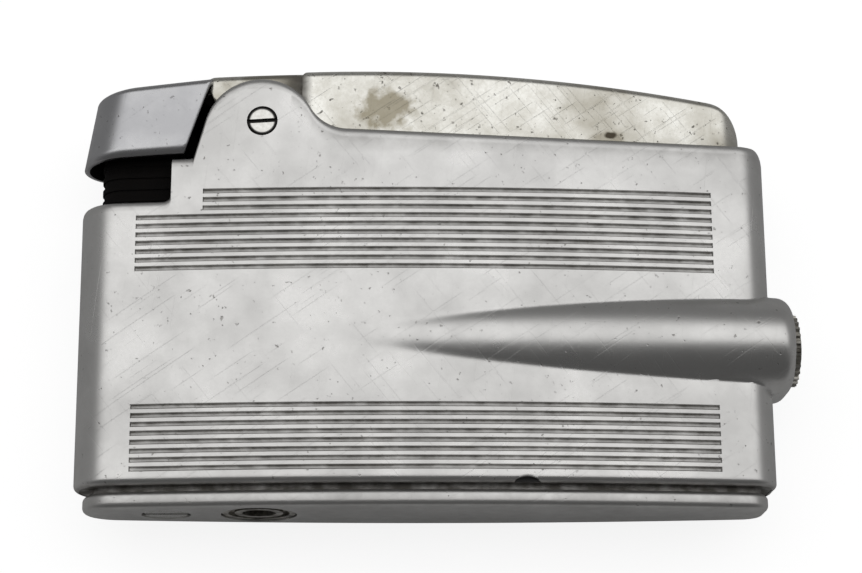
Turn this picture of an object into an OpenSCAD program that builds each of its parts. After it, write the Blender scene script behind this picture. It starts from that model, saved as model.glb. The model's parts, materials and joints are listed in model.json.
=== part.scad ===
// Flat pocket butane lighter with a long thumb lever, a snuffer cap and a spark wheel.
// Millimetres. X runs along the case with the flame end at -X, Y runs from the front face
// to the back face, and Z is up from the underside of the base.

/* [Case] */
// Length of the case, from the round nose to the flat right end
case_l = 66.84; // [64:0.01:72]
// Thickness of the case at its thickest place
case_t = 12.06; // [11.6:0.01:13]
// Radius of the gently curved front and back faces
face_r = 258.7; // [240:0.1:300]
// Distance from the nose to the thickest place
crown_from_nose = 33.4; // [31:0.1:36]
// Corner radius at the right end, seen from above
corner_r = 3.1; // [2.6:0.1:3.4]
// Height of the case's lower edge
case_low = 2.08; // [1.9:0.01:2.6]
// Height of the whole lighter, to the highest place of the lever
overall_h = 43.15; // [42:0.05:46]
// Depth of the case's upper rim below the axle, at the right end
rim_below = 1.8; // [1.7:0.05:2]
// Rise of the rim from its right end to the hollow shoulder of the ear
rim_rise = 1.05; // [0.9:0.05:1.15]
// Rounding of the rim's right corner, seen from the front
rim_r = 1.2; // [0.6:0.1:2]
// Wall of the case
wall = 0.5; // [0.4:0.05:0.55]
// Depth of the notch floor below the axle
notch_below = 7.95; // [7.5:0.05:8.2]
// Length of the notch, from the nose to its right wall
notch_l = 8.9; // [8.4:0.1:9.4]
// Rounding of the notch corner
notch_r = 0.8; // [0.4:0.1:1.2]
// Depth of the ledge beside the ear below the axle
ledge_below = 3.65; // [3.4:0.05:3.8]

/* [Ears and axle] */
// Distance from the nose to the axle
axle_from_nose = 17.58; // [17.4:0.01:17.8]
// Depth of the axle below the highest place of the lever
axle_below = 5.5; // [5.3:0.05:5.7]
// Radius of the ears
ear_r = 5.5; // [5.4:0.05:5.6]
// Depth of the ears' centre below the axle
ear_drop = 1.08; // [1:0.02:1.2]
// Setback of the ears' centre from the axle, towards the nose
ear_back = 0.2; // [0.1:0.02:0.3]
// Reach of the ledge from the ears' centre to the foot of the ear
ear_foot = 6.45; // [6.35:0.05:6.6]
// Radius of the hollow curve from the ear to the rim
shoulder_r = 4.2; // [3.6:0.1:5]
// Radius of the axle
axle_r = 0.9; // [0.8:0.05:1]
// Radius of the axle's slotted head and nut
head_r = 1.35; // [1.25:0.05:1.5]
// Width of the slot in each screw head
slot_w = 0.4; // [0.3:0.05:0.5]
// Depth of the slot in each screw head
slot_d = 0.3; // [0.2:0.05:0.35]
// Tilt of the front slot from level
slot_tilt = 4; // [0:1:20]

/* [Grooves] */
// Height of the lowest groove
groove_low_z = 3.5; // [3.4:0.1:4]
// Depth of the lowest groove of the upper group below the rim
groove_below = 12.92; // [12.6:0.01:13.2]
// Spacing of the grooves
groove_pitch = 0.849; // [0.8:0.001:0.86]
// Width of a groove
groove_w = 0.45; // [0.3:0.01:0.5]
// Depth of a groove
groove_d = 0.2; // [0.1:0.01:0.25]
// Number of grooves in the lower group
grooves_low = 8; // [4:1:8]
// Number of grooves in the upper group
grooves_high = 10; // [6:1:10]
// Number of shortened grooves at the top of the upper group
grooves_short = 3; // [0:1:4]
// Distance from the nose to the grooves' left ends
groove_from_nose = 5.6; // [5:0.1:8]
// Distance from the nose to the short grooves' left ends
short_from_nose = 12; // [11:0.1:16]
// Distance from the grooves' right ends to the right end of the case
groove_to_end = 5.7; // [5:0.1:8]

/* [Torpedo boss and adjuster] */
// Height of the boss's axis
boss_z = 16.1; // [15.9:0.1:16.4]
// Largest radius of the boss's round sides
boss_r = 5.55; // [5.4:0.01:5.7]
// Half distance between the centres of the two round sides
boss_off = 1.07; // [1:0.01:1.2]
// Distance from the nose to the boss's largest place
boss_from_nose = 47.5; // [46:0.1:49]
// Radius of the boss's lengthwise curve
boss_curve_r = 300; // [260:1:340]
// Reach of the boss past the right end of the case
boss_over = 1.96; // [1.6:0.01:2.3]
// Rounding of the boss's end
boss_end_r = 1.5; // [1:0.1:1.8]
// Radius of the knob
knob_r = 3.5; // [3.2:0.1:3.6]
// Width of the knob's toothed rim
knob_rim = 0.55; // [0.4:0.05:0.7]
// Height of the knob's dome above its rim
knob_dome = 0.5; // [0.4:0.05:0.7]
// Gap between the knob and the boss
knob_gap = 0.15; // [0.1:0.01:0.25]
// Number of teeth on the knob
knob_teeth = 28; // [20:1:36]
// Depth of the knob's teeth
knob_tooth_d = 0.3; // [0.2:0.05:0.35]
// Radius of the knob's hub
hub_r = 1.9; // [1.8:0.05:2.1]
// Radius of the adjuster spindle
spindle_r = 1.2; // [1.1:0.05:1.25]

/* [Base] */
// Inset of the base plate from the case's side
base_inset = 0.9; // [0.7:0.05:1.1]
// Height of the base plate's bead
bead_h = 1.6; // [1.2:0.05:1.7]
// Rounding of the bead
bead_r = 0.55; // [0.3:0.05:0.55]
// Inset of the dark groove above the bead
neck_inset = 1.5; // [1.3:0.05:1.8]
// Height of the plug above the case's lower edge
plug_h = 1.2; // [0.9:0.1:1.5]
// Radius of the filler valve's visible ring
filler_r = 3.5; // [3.3:0.05:3.6]
// Radius of the filler's socket
filler_bore_r = 1.6; // [1.5:0.05:1.7]
// Depth of the filler's socket
filler_socket = 2.2; // [2:0.1:2.6]
// Distance from the nose to the flint screw in the base
flint_from_nose = 8.4; // [8.2:0.1:8.6]

/* [Snuffer cap] */
// Gap between the notch floor and the cap's lower edge at the nose
cap_low_gap = 4.4; // [4.2:0.05:4.6]
// Slope of the cap's lower edge in degrees
cap_low_tilt = 2.6; // [1.5:0.1:3]
// Depth of the cap's top below the lever's top at the cap's right end
cap_below = 0.8; // [0.7:0.05:0.9]
// Fall of the cap's top from its right end to the nose
cap_fall = 0.7; // [0.5:0.05:0.9]
// Lean of the nose from the cap's foot to its shoulder
cap_lean = 1.05; // [0.8:0.05:1.2]
// Rounding of the cap's top edge
cap_edge_r = 0.8; // [0.6:0.1:1]
// Extra setback of the cap's top at the nose
cap_nose_r = 2; // [1.4:0.1:2.2]
// Distance from the nose to the foot of the cap's slanted edge
cap_foot = 10; // [9.9:0.05:10.1]
// Distance from the nose to the top of the cap's slanted edge
cap_head = 12.65; // [12.55:0.05:12.7]
// Wall of the cap
cap_wall = 0.5; // [0.4:0.05:0.55]
// Distance from the nose to the cap's hinge pin
hinge_from_nose = 12; // [11.9:0.05:12.05]
// Depth of the cap's hinge pin below the cap's top
hinge_below = 1.45; // [1.4:0.05:1.5]
// Radius of the cap's hinge pin
hinge_r = 0.4; // [0.35:0.05:0.45]
// Angle that the cap opens
cap_open = 60; // [50:1:60]

/* [Thumb lever] */
// Gap between the lever's skirt and the case wall
skirt_gap = 0.15; // [0.1:0.01:0.2]
// Wall of the lever
lever_wall = 0.5; // [0.4:0.05:0.55]
// Distance from the nose to the left edge of the wide skirt
skirt_from_nose = 21.43; // [21.2:0.01:22]
// Distance from the nose to the lever's right end
lever_end = 64.6; // [64.2:0.01:65]
// Depth of the skirt's lower edge below the case's rim
skirt_sunk = 1.85; // [1.65:0.05:2.05]
// Distance from the nose to the lever's highest place
lever_peak = 27; // [24:0.5:30]
// Radius of the lever's lengthwise arch
lever_arch_r = 234; // [225:1:260]
// Corner radius at the lever's right end, seen from the front
lever_end_r = 3.2; // [2.4:0.1:3.6]
// Rounding of the lever's top edge
lever_edge_r = 0.8; // [0.5:0.1:1]
// Half width of the narrow strip between the ears
strip_half = 4.5; // [4.4:0.01:4.6]
// Distance from the nose to the strip's left end
strip_from_nose = 13.1; // [13.05:0.01:13.3]
// Thickness of the lever's side cheeks at the axle
cheek_t = 0.35; // [0.3:0.01:0.36]
// Angle that the lever sinks
lever_press = 5.5; // [4:0.1:5.5]

/* [Works] */
// Clearance of every piece that turns on a pin
run_gap = 0.05; // [0.03:0.01:0.08]
// Clearance of pieces that are fixed together
fix_gap = 0.03; // [0.02:0.01:0.06]
// Height of the fuel tank's underside
tank_low = 4.4; // [4:0.1:5]
// Depth of the fuel tank's top below the axle
tank_below = 10.15; // [10.1:0.05:10.6]
// Wall of the fuel tank
tank_wall = 0.5; // [0.4:0.05:0.7]
// Gap between the tank and the case wall
tank_gap = 0.3; // [0.2:0.05:0.5]
// Radius of the spark wheel
wheel_r = 3.3; // [3.1:0.05:3.4]
// Width of the spark wheel
wheel_w = 2.6; // [2.2:0.1:2.7]
// Number of file teeth on the spark wheel
wheel_teeth = 36; // [24:1:48]
// Radius over the ratchet wheel's teeth
ratchet_r = 2.63; // [2.55:0.01:2.68]
// Height of the ratchet wheel's teeth
tooth_h = 0.38; // [0.34:0.01:0.42]
// Number of ratchet teeth
ratchet_teeth = 8; // [8:1:8]
// Radius of the flint
flint_r = 1.25; // [1.2:0.01:1.3]
// Length of the flint
flint_l = 5; // [4:0.1:6]
// Wall of the flint tube
flint_wall = 0.55; // [0.4:0.05:0.6]
// Distance from the nose to the burner
burner_from_nose = 5; // [4.8:0.1:5.2]
// Radius of the burner's stem
stem_r = 0.75; // [0.65:0.05:0.8]
// Inset of the wind guard from the case's side
guard_inset = 2; // [1.9:0.05:2.1]
// Reach of the wind guard above the cap's lower edge
guard_over = 1.9; // [1.4:0.1:1.9]
// Wall of the wind guard
guard_wall = 0.4; // [0.3:0.05:0.5]
// Distance from the nose to the rocker's pin
rocker_from_nose = 30; // [29.5:0.1:30.5]
// Depth of the rocker's pin below the axle
rocker_below = 6.65; // [6.5:0.05:6.8]
// Radius of the rocker's pin
rocker_pin_r = 0.6; // [0.5:0.05:0.7]

/* [Hidden] */

// Reference planes: the part is centred on its overall length
overall_l = case_l + boss_over + knob_gap + knob_rim + knob_dome;
nose_x = -overall_l / 2;
right_x = nose_x + case_l;
crown_x = nose_x + crown_from_nose;
axle_x = nose_x + axle_from_nose;
boss_x = nose_x + boss_from_nose;
boss_end_x = right_x + boss_over;
knob_x = boss_end_x + knob_gap;
hinge_x = nose_x + hinge_from_nose;
axle_z = overall_h - axle_below;
rim_z = axle_z - rim_below;
ledge_z = axle_z - ledge_below;
notch_z = axle_z - notch_below;
groove_high_z = rim_z - groove_below;
cap_low_z = notch_z + cap_low_gap;
cap_right_z = overall_h - cap_below;
cap_top_z = cap_right_z - cap_fall;
hinge_z = cap_right_z - hinge_below;
skirt_low = rim_z - skirt_sunk;
tank_top = axle_z - tank_below;
guard_top = cap_low_z + guard_over;
rocker_z = axle_z - rocker_below;
burner_x = nose_x + burner_from_nose;
filler_x = axle_x;
rocker_x = nose_x + rocker_from_nose;
flint_foot_x = nose_x + flint_from_nose;
fine = 48;
far = 200;

// Plan of the case: two shallow face arcs, a tangent round nose and two tangent corners
face_off = face_r - case_t / 2;
nose_s = face_r + nose_x;
nose_cx = (nose_s ^ 2 - crown_x ^ 2 - face_off ^ 2) / (2 * (nose_s - crown_x));
nose_r = nose_cx - nose_x;
corner_cx = right_x - corner_r;
corner_cy = sqrt((face_r - corner_r) ^ 2 - (corner_cx - crown_x) ^ 2) - face_off;
nose_a = atan2(face_off, nose_cx - crown_x);
corner_a = atan2(corner_cy + face_off, corner_cx - crown_x);

function arc(c, r, a0, a1, n) =
    [for (i = [0:n - 1]) let (a = a0 + (a1 - a0) * i / n) c + r * [cos(a), sin(a)]];

// Half thickness of the case at x
function half_t(x) = sqrt(face_r ^ 2 - (x - crown_x) ^ 2) - face_off;

// Closed outline of the case's plan, set in by t
function plan_pts(t) = concat(
    arc([crown_x, -face_off], face_r - t, corner_a, nose_a, 26),
    arc([nose_cx, 0], nose_r - t, nose_a, 360 - nose_a, 22),
    arc([crown_x, face_off], face_r - t, 360 - nose_a, 360 - corner_a, 26),
    arc([corner_cx, -corner_cy], corner_r - t, -corner_a, 0, 7),
    arc([corner_cx, corner_cy], corner_r - t, 0, corner_a, 7));

module plan(t) {
    polygon(plan_pts(t));
}

// Prism of the plan, set in by t, between two heights
module plan_prism(t, z0, z1) {
    translate([0, 0, z0])
        linear_extrude(z1 - z0)
            plan(t);
}

// Turns a drawing in X and Z into a plate between two depths
module plate(y0, y1) {
    translate([0, y1, 0])
        rotate([90, 0, 0])
            linear_extrude(y1 - y0)
                children();
}

// The same plate in front and behind
module plate_pair(y0, y1) {
    plate(-y1, -y0)
        children();
    plate(y0, y1)
        children();
}

// Round bar across the part
module bar_y(x, z, r, y0, y1) {
    translate([x, y0, z])
        rotate([-90, 0, 0])
            cylinder(h = y1 - y0, r = r, $fn = fine);
}

// Round bar along the part
module bar_x(y, z, r, x0, x1) {
    translate([x0, y, z])
        rotate([0, 90, 0])
            cylinder(h = x1 - x0, r = r, $fn = fine);
}

// Round upright bar
module bar_z(x, r, z0, z1) {
    translate([x, 0, z0])
        cylinder(h = z1 - z0, r = r, $fn = fine);
}

// Front view of the case: notch, ledge, ears, shoulder and rim
shoulder_cz = rim_z + rim_rise + shoulder_r;
ear_x = axle_x - ear_back;
ear_z = axle_z - ear_drop;
shoulder_cx = ear_x + sqrt((ear_r + shoulder_r) ^ 2 - (shoulder_cz - ear_z) ^ 2);
shoulder_a = atan2(shoulder_cz - ear_z, shoulder_cx - ear_x);
foot_dz = ear_z - ledge_z;
foot_d = sqrt(ear_foot ^ 2 + foot_dz ^ 2);
flank_a = atan2(foot_dz, ear_foot) + asin(ear_r / foot_d);
notch_x = nose_x + notch_l;
rim_end_x = right_x - rim_r;

// Height of the hollow rim at the share s of its length, from the right end to the shoulder
function rim_point(s) = [rim_end_x - s * (rim_end_x - shoulder_cx), rim_z + rim_rise * s ^ 2];

module case_front() {
    polygon(concat(
        [[-far, case_low], [far, case_low], [far, rim_z - rim_r]],
        arc([rim_end_x, rim_z - rim_r], rim_r, 0, 90, 6),
        [for (i = [1:9]) rim_point(i / 10)],
        arc([shoulder_cx, shoulder_cz], shoulder_r, 270, 180 + shoulder_a, 10),
        arc([ear_x, ear_z], ear_r, shoulder_a, flank_a + 90, 20),
        [[ear_x, ear_z] + ear_r * [cos(flank_a + 90), sin(flank_a + 90)]],
        [[ear_x - ear_foot, ledge_z], [notch_x, ledge_z]],
        arc([notch_x - notch_r, notch_z + notch_r], notch_r, 0, -90, 5),
        [[notch_x - notch_r, notch_z], [-far, notch_z]]));
}

// Radius of the boss at x, set in by t
function boss_at(x, t) = boss_r - t - (x - boss_x) ^ 2 / (2 * boss_curve_r);

// One round side of the boss, its tip buried in the case wall
module boss_turned(t, x0, x1) {
    end_r = max(boss_end_r - t, 0.3);
    top = boss_at(x1 - end_r, t);
    pts = concat(
        [[0, x0]],
        [for (i = [0:16]) let (x = x0 + (x1 - end_r - x0) * i / 16) [boss_at(x, t), x]],
        [for (i = [1:5]) [top - end_r * (1 - cos(18 * i)), x1 - end_r * (1 - sin(18 * i))]],
        [[0, x1]]);
    rotate([0, 90, 0])
        rotate_extrude($fn = 96)
            polygon(pts);
}

// The whole boss: two round sides with a flat band between them
module boss(t, x0, x1) {
    end_r = max(boss_end_r - t, 0.3);
    top = boss_at(x1 - end_r, t);
    side = concat(
        [for (i = [0:16]) let (x = x0 + (x1 - end_r - x0) * i / 16) [x, boss_at(x, t)]],
        [for (i = [1:5]) [x1 - end_r * (1 - sin(18 * i)), top - end_r * (1 - cos(18 * i))]]);
    mirrored = [for (i = [len(side) - 1:-1:0]) [side[i][0], -side[i][1]]];
    translate([0, 0, boss_z]) {
        for (s = [-1, 1])
            translate([0, s * boss_off, 0])
                boss_turned(t, x0, x1);
        translate([0, boss_off, 0])
            rotate([90, 0, 0])
                linear_extrude(2 * boss_off)
                    polygon(concat(side, mirrored));
    }
}

// Round-ended groove shapes, drawn in X and Z
module groove_row(x0, x1, z) {
    r = groove_w / 2;
    translate([x0 + r, z - r])
        square([x1 - x0 - groove_w, groove_w]);
    for (x = [x0 + r, x1 - r])
        translate([x, z])
            circle(r = r, $fn = 24);
}

module groove_set() {
    x1 = right_x - groove_to_end;
    for (i = [0:grooves_low - 1])
        groove_row(nose_x + groove_from_nose, x1, groove_low_z + i * groove_pitch);
    for (i = [0:grooves_high - 1]) {
        short = i >= grooves_high - grooves_short;
        x0 = nose_x + (short ? short_from_nose : groove_from_nose);
        groove_row(x0, x1, groove_high_z + i * groove_pitch);
    }
}

boss_tip_x = crown_x - 10.4;
knob_hole_r = hub_r + 0.1;

module body_shell() {
    color("silver")
        difference() {
            union() {
                intersection() {
                    plan_prism(0, case_low, axle_z + 2 * ear_r);
                    plate(-far / 2, far / 2)
                        case_front();
                }
                boss(0, boss_tip_x, boss_end_x);
            }
            plan_prism(wall, case_low - 1, axle_z + 3 * ear_r);
            boss(wall, boss_tip_x, boss_end_x - wall);
            difference() {
                plate(-far / 2, far / 2)
                    groove_set();
                plan_prism(groove_d, case_low - 1, axle_z);
            }
            bar_y(axle_x, axle_z, head_r + 0.15, -case_t, case_t);
            bar_x(0, boss_z, knob_hole_r, boss_end_x - 3, boss_end_x + 1);
        }
}

flint_tilt = atan2(axle_x - flint_foot_x, axle_z);
flint_run = sqrt((axle_x - flint_foot_x) ^ 2 + axle_z ^ 2);
tube_r = flint_r + 0.1 + flint_wall;
flint_bore_r = flint_r + 0.1;
flint_top = flint_run - wheel_r - 0.05;
tube_top = flint_top - 0.85;
screw_head_r = tube_r + 0.2;
screw_low = 0.65;
screw_high = 1.6;
shank_top = 6;

// Round bar on the tilted flint axis, measured from the underside of the base
module flint_bar(r, s0, s1) {
    translate([flint_foot_x, 0, 0])
        rotate([0, flint_tilt, 0])
            translate([0, 0, s0])
                cylinder(h = s1 - s0, r = r, $fn = fine);
}

module base_cap() {
    steps = 3;
    color("silver")
        difference() {
            union() {
                for (i = [0:steps]) {
                    a = 90 * i / steps;
                    cut = bead_r * (1 - cos(a));
                    plan_prism(base_inset + bead_r * (1 - sin(a)), cut, bead_h - cut);
                }
                plan_prism(neck_inset, bead_h / 2, case_low + 0.1);
                plan_prism(wall + fix_gap, case_low, case_low + plug_h);
            }
            bar_z(filler_x, filler_r + fix_gap, -1, case_low + plug_h + 1);
            flint_bar(screw_head_r + 0.1, -2, case_low + plug_h + 3);
        }
}

// Left wall of the tank runs along the flint tube
tank_slant = tan(flint_tilt);
tank_left_low = flint_foot_x + tank_low * tank_slant + tube_r / cos(flint_tilt) + tank_gap;
tank_left_top = flint_foot_x + tank_top * tank_slant + tube_r / cos(flint_tilt) + tank_gap;
tank_right = right_x - wall - tank_gap;

module tank_side(t) {
    polygon([
        [tank_left_low + t * 1.1, tank_low + t],
        [far, tank_low + t],
        [far, tank_top - t],
        [tank_left_top + t * 1.1, tank_top - t]]);
}

module tank_solid(t) {
    intersection() {
        plan_prism(wall + tank_gap + t, tank_low - 1, tank_top + 1);
        plate(-far / 2, far / 2)
            tank_side(t);
    }
}

filler_body_r = filler_r - 0.5;
filler_top = 11;
meter_r = 2.3;
meter_left = right_x - 16.8;
meter_right = boss_end_x - 1.6;
meter_block_r = 3.5;
meter_block_l = 2.6;
gas_r = 0.6;
gas_y = 2.75;

module fuel_tank() {
    color("goldenrod")
        difference() {
            tank_solid(0);
            tank_solid(tank_wall);
            bar_z(filler_x, filler_body_r + fix_gap, 0, filler_top);
            bar_x(0, boss_z, meter_r + fix_gap, meter_left + 5, far / 2);
            bar_x(gas_y, boss_z, gas_r + fix_gap, burner_x, filler_x);
        }
}

// Depths of the layers on the axle, from the middle outwards
frame_y0 = 3.5;
frame_y1 = 4;
arm_y0 = 2.75;
arm_y1 = 3.35;
rocker_y0 = 2;
rocker_y1 = 2.6;
ratchet_y0 = 1.4;
ratchet_y1 = 1.9;
frame_low = tank_top;
frame_high = tank_top + 0.7;

module frame_ear() {
    polygon([
        [axle_x - 3, frame_high - 0.2],
        [axle_x + 3.6, frame_high - 0.2],
        [axle_x + 1.8, axle_z + 0.6],
        [axle_x - 1.3, axle_z + 1.4],
        [hinge_x + 0.65, hinge_z - 0.35],
        [hinge_x - 0.35, hinge_z - 0.65],
        [axle_x - 1.8, axle_z - 0.6]]);
    translate([axle_x, axle_z])
        circle(r = 1.85, $fn = fine);
    translate([hinge_x, hinge_z])
        circle(r = 0.75, $fn = fine);
}

module rocker_lug() {
    polygon([
        [rocker_x - 2, frame_high - 0.2],
        [rocker_x + 2, frame_high - 0.2],
        [rocker_x + 1.2, rocker_z],
        [rocker_x - 1.2, rocker_z]]);
    translate([rocker_x, rocker_z])
        circle(r = 1.2, $fn = fine);
}

module mechanism_frame() {
    color("dimgray")
        difference() {
            union() {
                translate([axle_x - 4, -frame_y1, frame_low])
                    cube([rocker_x - axle_x + 7, 2 * frame_y1, frame_high - frame_low]);
                plate_pair(frame_y0, frame_y1)
                    frame_ear();
                plate(-frame_y1, -frame_y0)
                    rocker_lug();
                plate(-ratchet_y1, -ratchet_y0)
                    rocker_lug();
            }
            bar_y(axle_x, axle_z, axle_r + fix_gap, -case_t, case_t);
            bar_y(hinge_x, hinge_z, hinge_r + fix_gap, -case_t, case_t);
            bar_y(rocker_x, rocker_z, rocker_pin_r + fix_gap, -case_t, case_t);
            flint_bar(tube_r + 0.1, 20, tube_top + 1);
        }
}

head_y = half_t(axle_x);
head_in = head_y - wall;

// Slotted disc that fills the round hole in an ear; side is -1 in front and 1 behind
module slotted_disc(side, tilt) {
    difference() {
        bar_y(axle_x, axle_z, head_r, side < 0 ? -head_y : head_in, side < 0 ? -head_in : head_y);
        translate([axle_x, side * head_y, axle_z])
            rotate([0, tilt, 0])
                cube([far, 2 * slot_d, slot_w], center = true);
    }
}

module axle_screw() {
    color("gainsboro") {
        slotted_disc(-1, -slot_tilt);
        bar_y(axle_x, axle_z, axle_r, -head_in - 0.1, head_y - 0.35);
    }
}

module axle_nut() {
    color("gainsboro")
        difference() {
            slotted_disc(1, slot_tilt);
            bar_y(axle_x, axle_z, axle_r + fix_gap, 0, case_t);
        }
}

module rocker_pin() {
    color("gray")
        bar_y(rocker_x, rocker_z, rocker_pin_r, -frame_y1, -ratchet_y0);
}

module snuffer_pin() {
    color("gray")
        bar_y(hinge_x, hinge_z, hinge_r, -frame_y1, frame_y1);
}

guard_low = notch_z - 3;
guard_right = burner_x + 4.2;

module wind_guard() {
    ridge = 0.15;
    color("saddlebrown")
        difference() {
            intersection() {
                union() {
                    plan_prism(guard_inset, guard_low, guard_top);
                    for (i = [0:3])
                        plan_prism(guard_inset - ridge, notch_z + 0.6 + i * 1.2, notch_z + 1.1 + i * 1.2);
                }
                translate([nose_x, -far / 2, 0])
                    cube([guard_right - nose_x, far, far]);
            }
            plan_prism(guard_inset + guard_wall, guard_low + 0.6, guard_top + 1);
            bar_z(burner_x, burner_neck_r + fix_gap, 0, guard_top);
        }
}

module flint_tube() {
    color("goldenrod")
        difference() {
            flint_bar(tube_r, screw_high, tube_top);
            flint_bar(flint_bore_r, screw_high - 1, tube_top + 1);
        }
}

module flint_screw() {
    color("gainsboro")
        difference() {
            union() {
                flint_bar(screw_head_r, screw_low, screw_high);
                flint_bar(flint_bore_r - 0.03, screw_high - 0.1, shank_top);
            }
            translate([flint_foot_x, 0, 0])
                rotate([0, flint_tilt, 0])
                    translate([0, 0, screw_low])
                        cube([slot_w * 1.5, far, 2 * slot_d], center = true);
        }
}

flint_low = flint_top - flint_l;
follower_l = 1.8;

module flint_spring() {
    color("gray")
        difference() {
            flint_bar(flint_r - 0.1, shank_top, flint_low - follower_l);
            flint_bar(flint_r - 0.5, shank_top - 1, flint_low);
        }
}

module flint_follower() {
    color("goldenrod")
        flint_bar(flint_r, flint_low - follower_l, flint_low);
}

module flint() {
    color("darkslategray")
        flint_bar(flint_r, flint_low, flint_top);
}

filler_low = 0.15;
socket_top = filler_low + filler_socket;
filler_stem_r = 0.85;
filler_chamber_r = 2;
chamber_low = socket_top + 0.8;
chamber_top = filler_top - 1.6;

module filler_body() {
    color("gainsboro")
        difference() {
            union() {
                bar_z(filler_x, filler_r, filler_low, case_low + plug_h);
                bar_z(filler_x, filler_body_r, case_low + plug_h - 0.1, filler_top);
            }
            bar_z(filler_x, filler_bore_r, -1, socket_top);
            bar_z(filler_x, filler_stem_r + run_gap, 0, filler_top + 1);
            bar_z(filler_x, filler_chamber_r, chamber_low, chamber_top);
            difference() {
                bar_z(filler_x, filler_r - 0.6, filler_low - 1, filler_low + 0.35);
                bar_z(filler_x, filler_r - 1.2, filler_low - 2, filler_low + 1);
            }
        }
}

module filler_seal() {
    color("black")
        translate([filler_x, 0, chamber_low + 0.35])
            rotate_extrude($fn = fine)
                translate([filler_stem_r + run_gap + 0.33, 0])
                    circle(r = 0.33, $fn = 24);
}

stem_collar_z = chamber_low + 1;

module filler_stem() {
    color("goldenrod") {
        bar_z(filler_x, filler_stem_r, socket_top + 0.15, filler_top + 0.2);
        bar_z(filler_x, filler_chamber_r - 0.15, stem_collar_z, stem_collar_z + 0.6);
    }
}

module filler_spring() {
    color("gray")
        difference() {
            bar_z(filler_x, filler_chamber_r - 0.2, stem_collar_z + 0.6, chamber_top);
            bar_z(filler_x, filler_chamber_r - 0.75, stem_collar_z, filler_top);
        }
}

seal_x = meter_right - 1.9;
plug_x = meter_left + meter_block_l + 1.1;
plug_l = 1.6;
spindle_left = plug_x + plug_l + fix_gap;
spindle_tip_r = 0.6;
spindle_tip_l = 1.1;

module metering_body() {
    color("goldenrod")
        difference() {
            union() {
                bar_x(0, boss_z, meter_block_r, meter_left, meter_left + meter_block_l);
                bar_x(0, boss_z, meter_r, meter_left + 0.5, meter_right);
            }
            bar_x(0, boss_z, spindle_r + run_gap, meter_left + 1.2, boss_end_x);
            bar_x(0, boss_z, 1.95, seal_x - 0.4, meter_right + 1);
            bar_x(gas_y, boss_z, gas_r + fix_gap, meter_left - 1, meter_left + 1.5);
        }
}

module metering_pad() {
    color("wheat")
        bar_x(0, boss_z, spindle_r, meter_left + 1.2, plug_x - 0.6);
}

// The plug sits on the spindle's thin tip and turns with it
module metering_plug() {
    color("gainsboro")
        difference() {
            bar_x(0, boss_z, spindle_r, plug_x, plug_x + plug_l);
            bar_x(0, boss_z, spindle_tip_r + fix_gap, spindle_left - spindle_tip_l - fix_gap, far);
        }
}

module spindle_seal() {
    color("black")
        translate([seal_x, 0, boss_z])
            rotate([0, 90, 0])
                rotate_extrude($fn = fine)
                    translate([spindle_r + run_gap + 0.32, 0])
                        circle(r = 0.32, $fn = 24);
}

module adjuster_spindle() {
    color("gainsboro")
        union() {
            bar_x(0, boss_z, spindle_r, spindle_left, knob_x + 0.2);
            bar_x(0, boss_z, spindle_tip_r, spindle_left - spindle_tip_l, spindle_left + 0.1);
        }
}

module knob_outline() {
    step = 360 / knob_teeth;
    polygon([for (i = [0:knob_teeth - 1], c = [[-0.32, 1], [-0.14, 0], [0.14, 0], [0.32, 1]])
        (knob_r - knob_tooth_d * c[1]) * [cos((i + c[0]) * step), sin((i + c[0]) * step)]]);
}

module adjuster_knob() {
    inner = knob_r - knob_tooth_d;
    ball_r = (inner ^ 2 + knob_dome ^ 2) / (2 * knob_dome);
    color("silver")
        difference() {
            union() {
                translate([knob_x, 0, boss_z])
                    rotate([0, 90, 0])
                        linear_extrude(knob_rim)
                            knob_outline();
                translate([knob_x + knob_rim, 0, boss_z])
                    rotate([0, 90, 0])
                        rotate_extrude($fn = 96)
                            intersection() {
                                translate([0, knob_dome - ball_r])
                                    circle(r = ball_r, $fn = 360);
                                translate([0, -0.1])
                                    square([inner, ball_r]);
                            }
                bar_x(0, boss_z, hub_r, boss_end_x - 1.4, knob_x + 0.1);
            }
            bar_x(0, boss_z, spindle_r + fix_gap, 0, knob_x + 0.2);
        }
}

burner_low = boss_z - 2.2;
burner_top = notch_z - 0.3;
burner_block_r = 3.3;
burner_neck_r = 1.5;
burner_chamber_r = 1.6;
burner_chamber_low = notch_z - 7.7;
burner_chamber_top = notch_z - 2.1;
burner_shoulder = guard_low - 0.1;
jet_top = notch_z + 4.7;
collar_z = notch_z + 2.55;
piston_top = burner_chamber_low + 2.6;

module gas_tube() {
    color("goldenrod")
        difference() {
            bar_x(gas_y, boss_z, gas_r, burner_x + 0.2, meter_left + 1.4);
            bar_x(gas_y, boss_z, gas_r / 2, burner_x, meter_left + 2);
        }
}

module burner_body() {
    color("goldenrod")
        difference() {
            union() {
                bar_z(burner_x, burner_block_r, burner_low, burner_low + 4.4);
                bar_z(burner_x, 2.4, burner_low + 4.3, burner_shoulder);
                bar_z(burner_x, burner_neck_r, burner_shoulder - 0.1, burner_top);
            }
            bar_z(burner_x, stem_r + run_gap, burner_chamber_low, burner_top + 1);
            difference() {
                bar_z(burner_x, burner_chamber_r, burner_chamber_low, burner_chamber_top);
                bar_z(burner_x, 3, burner_shoulder - 0.6, burner_top);
            }
            bar_z(burner_x, 0.35, burner_low + 2, burner_top);
            bar_x(gas_y, boss_z, gas_r + fix_gap, burner_x + 0.1, filler_x);
        }
}

spring_seat = burner_shoulder - 0.6;

module burner_seal() {
    color("black")
        difference() {
            bar_z(burner_x, burner_chamber_r - fix_gap, burner_chamber_low, burner_chamber_low + 0.5);
            bar_z(burner_x, 0.4, burner_chamber_low - 1, burner_chamber_low + 1);
        }
}

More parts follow.
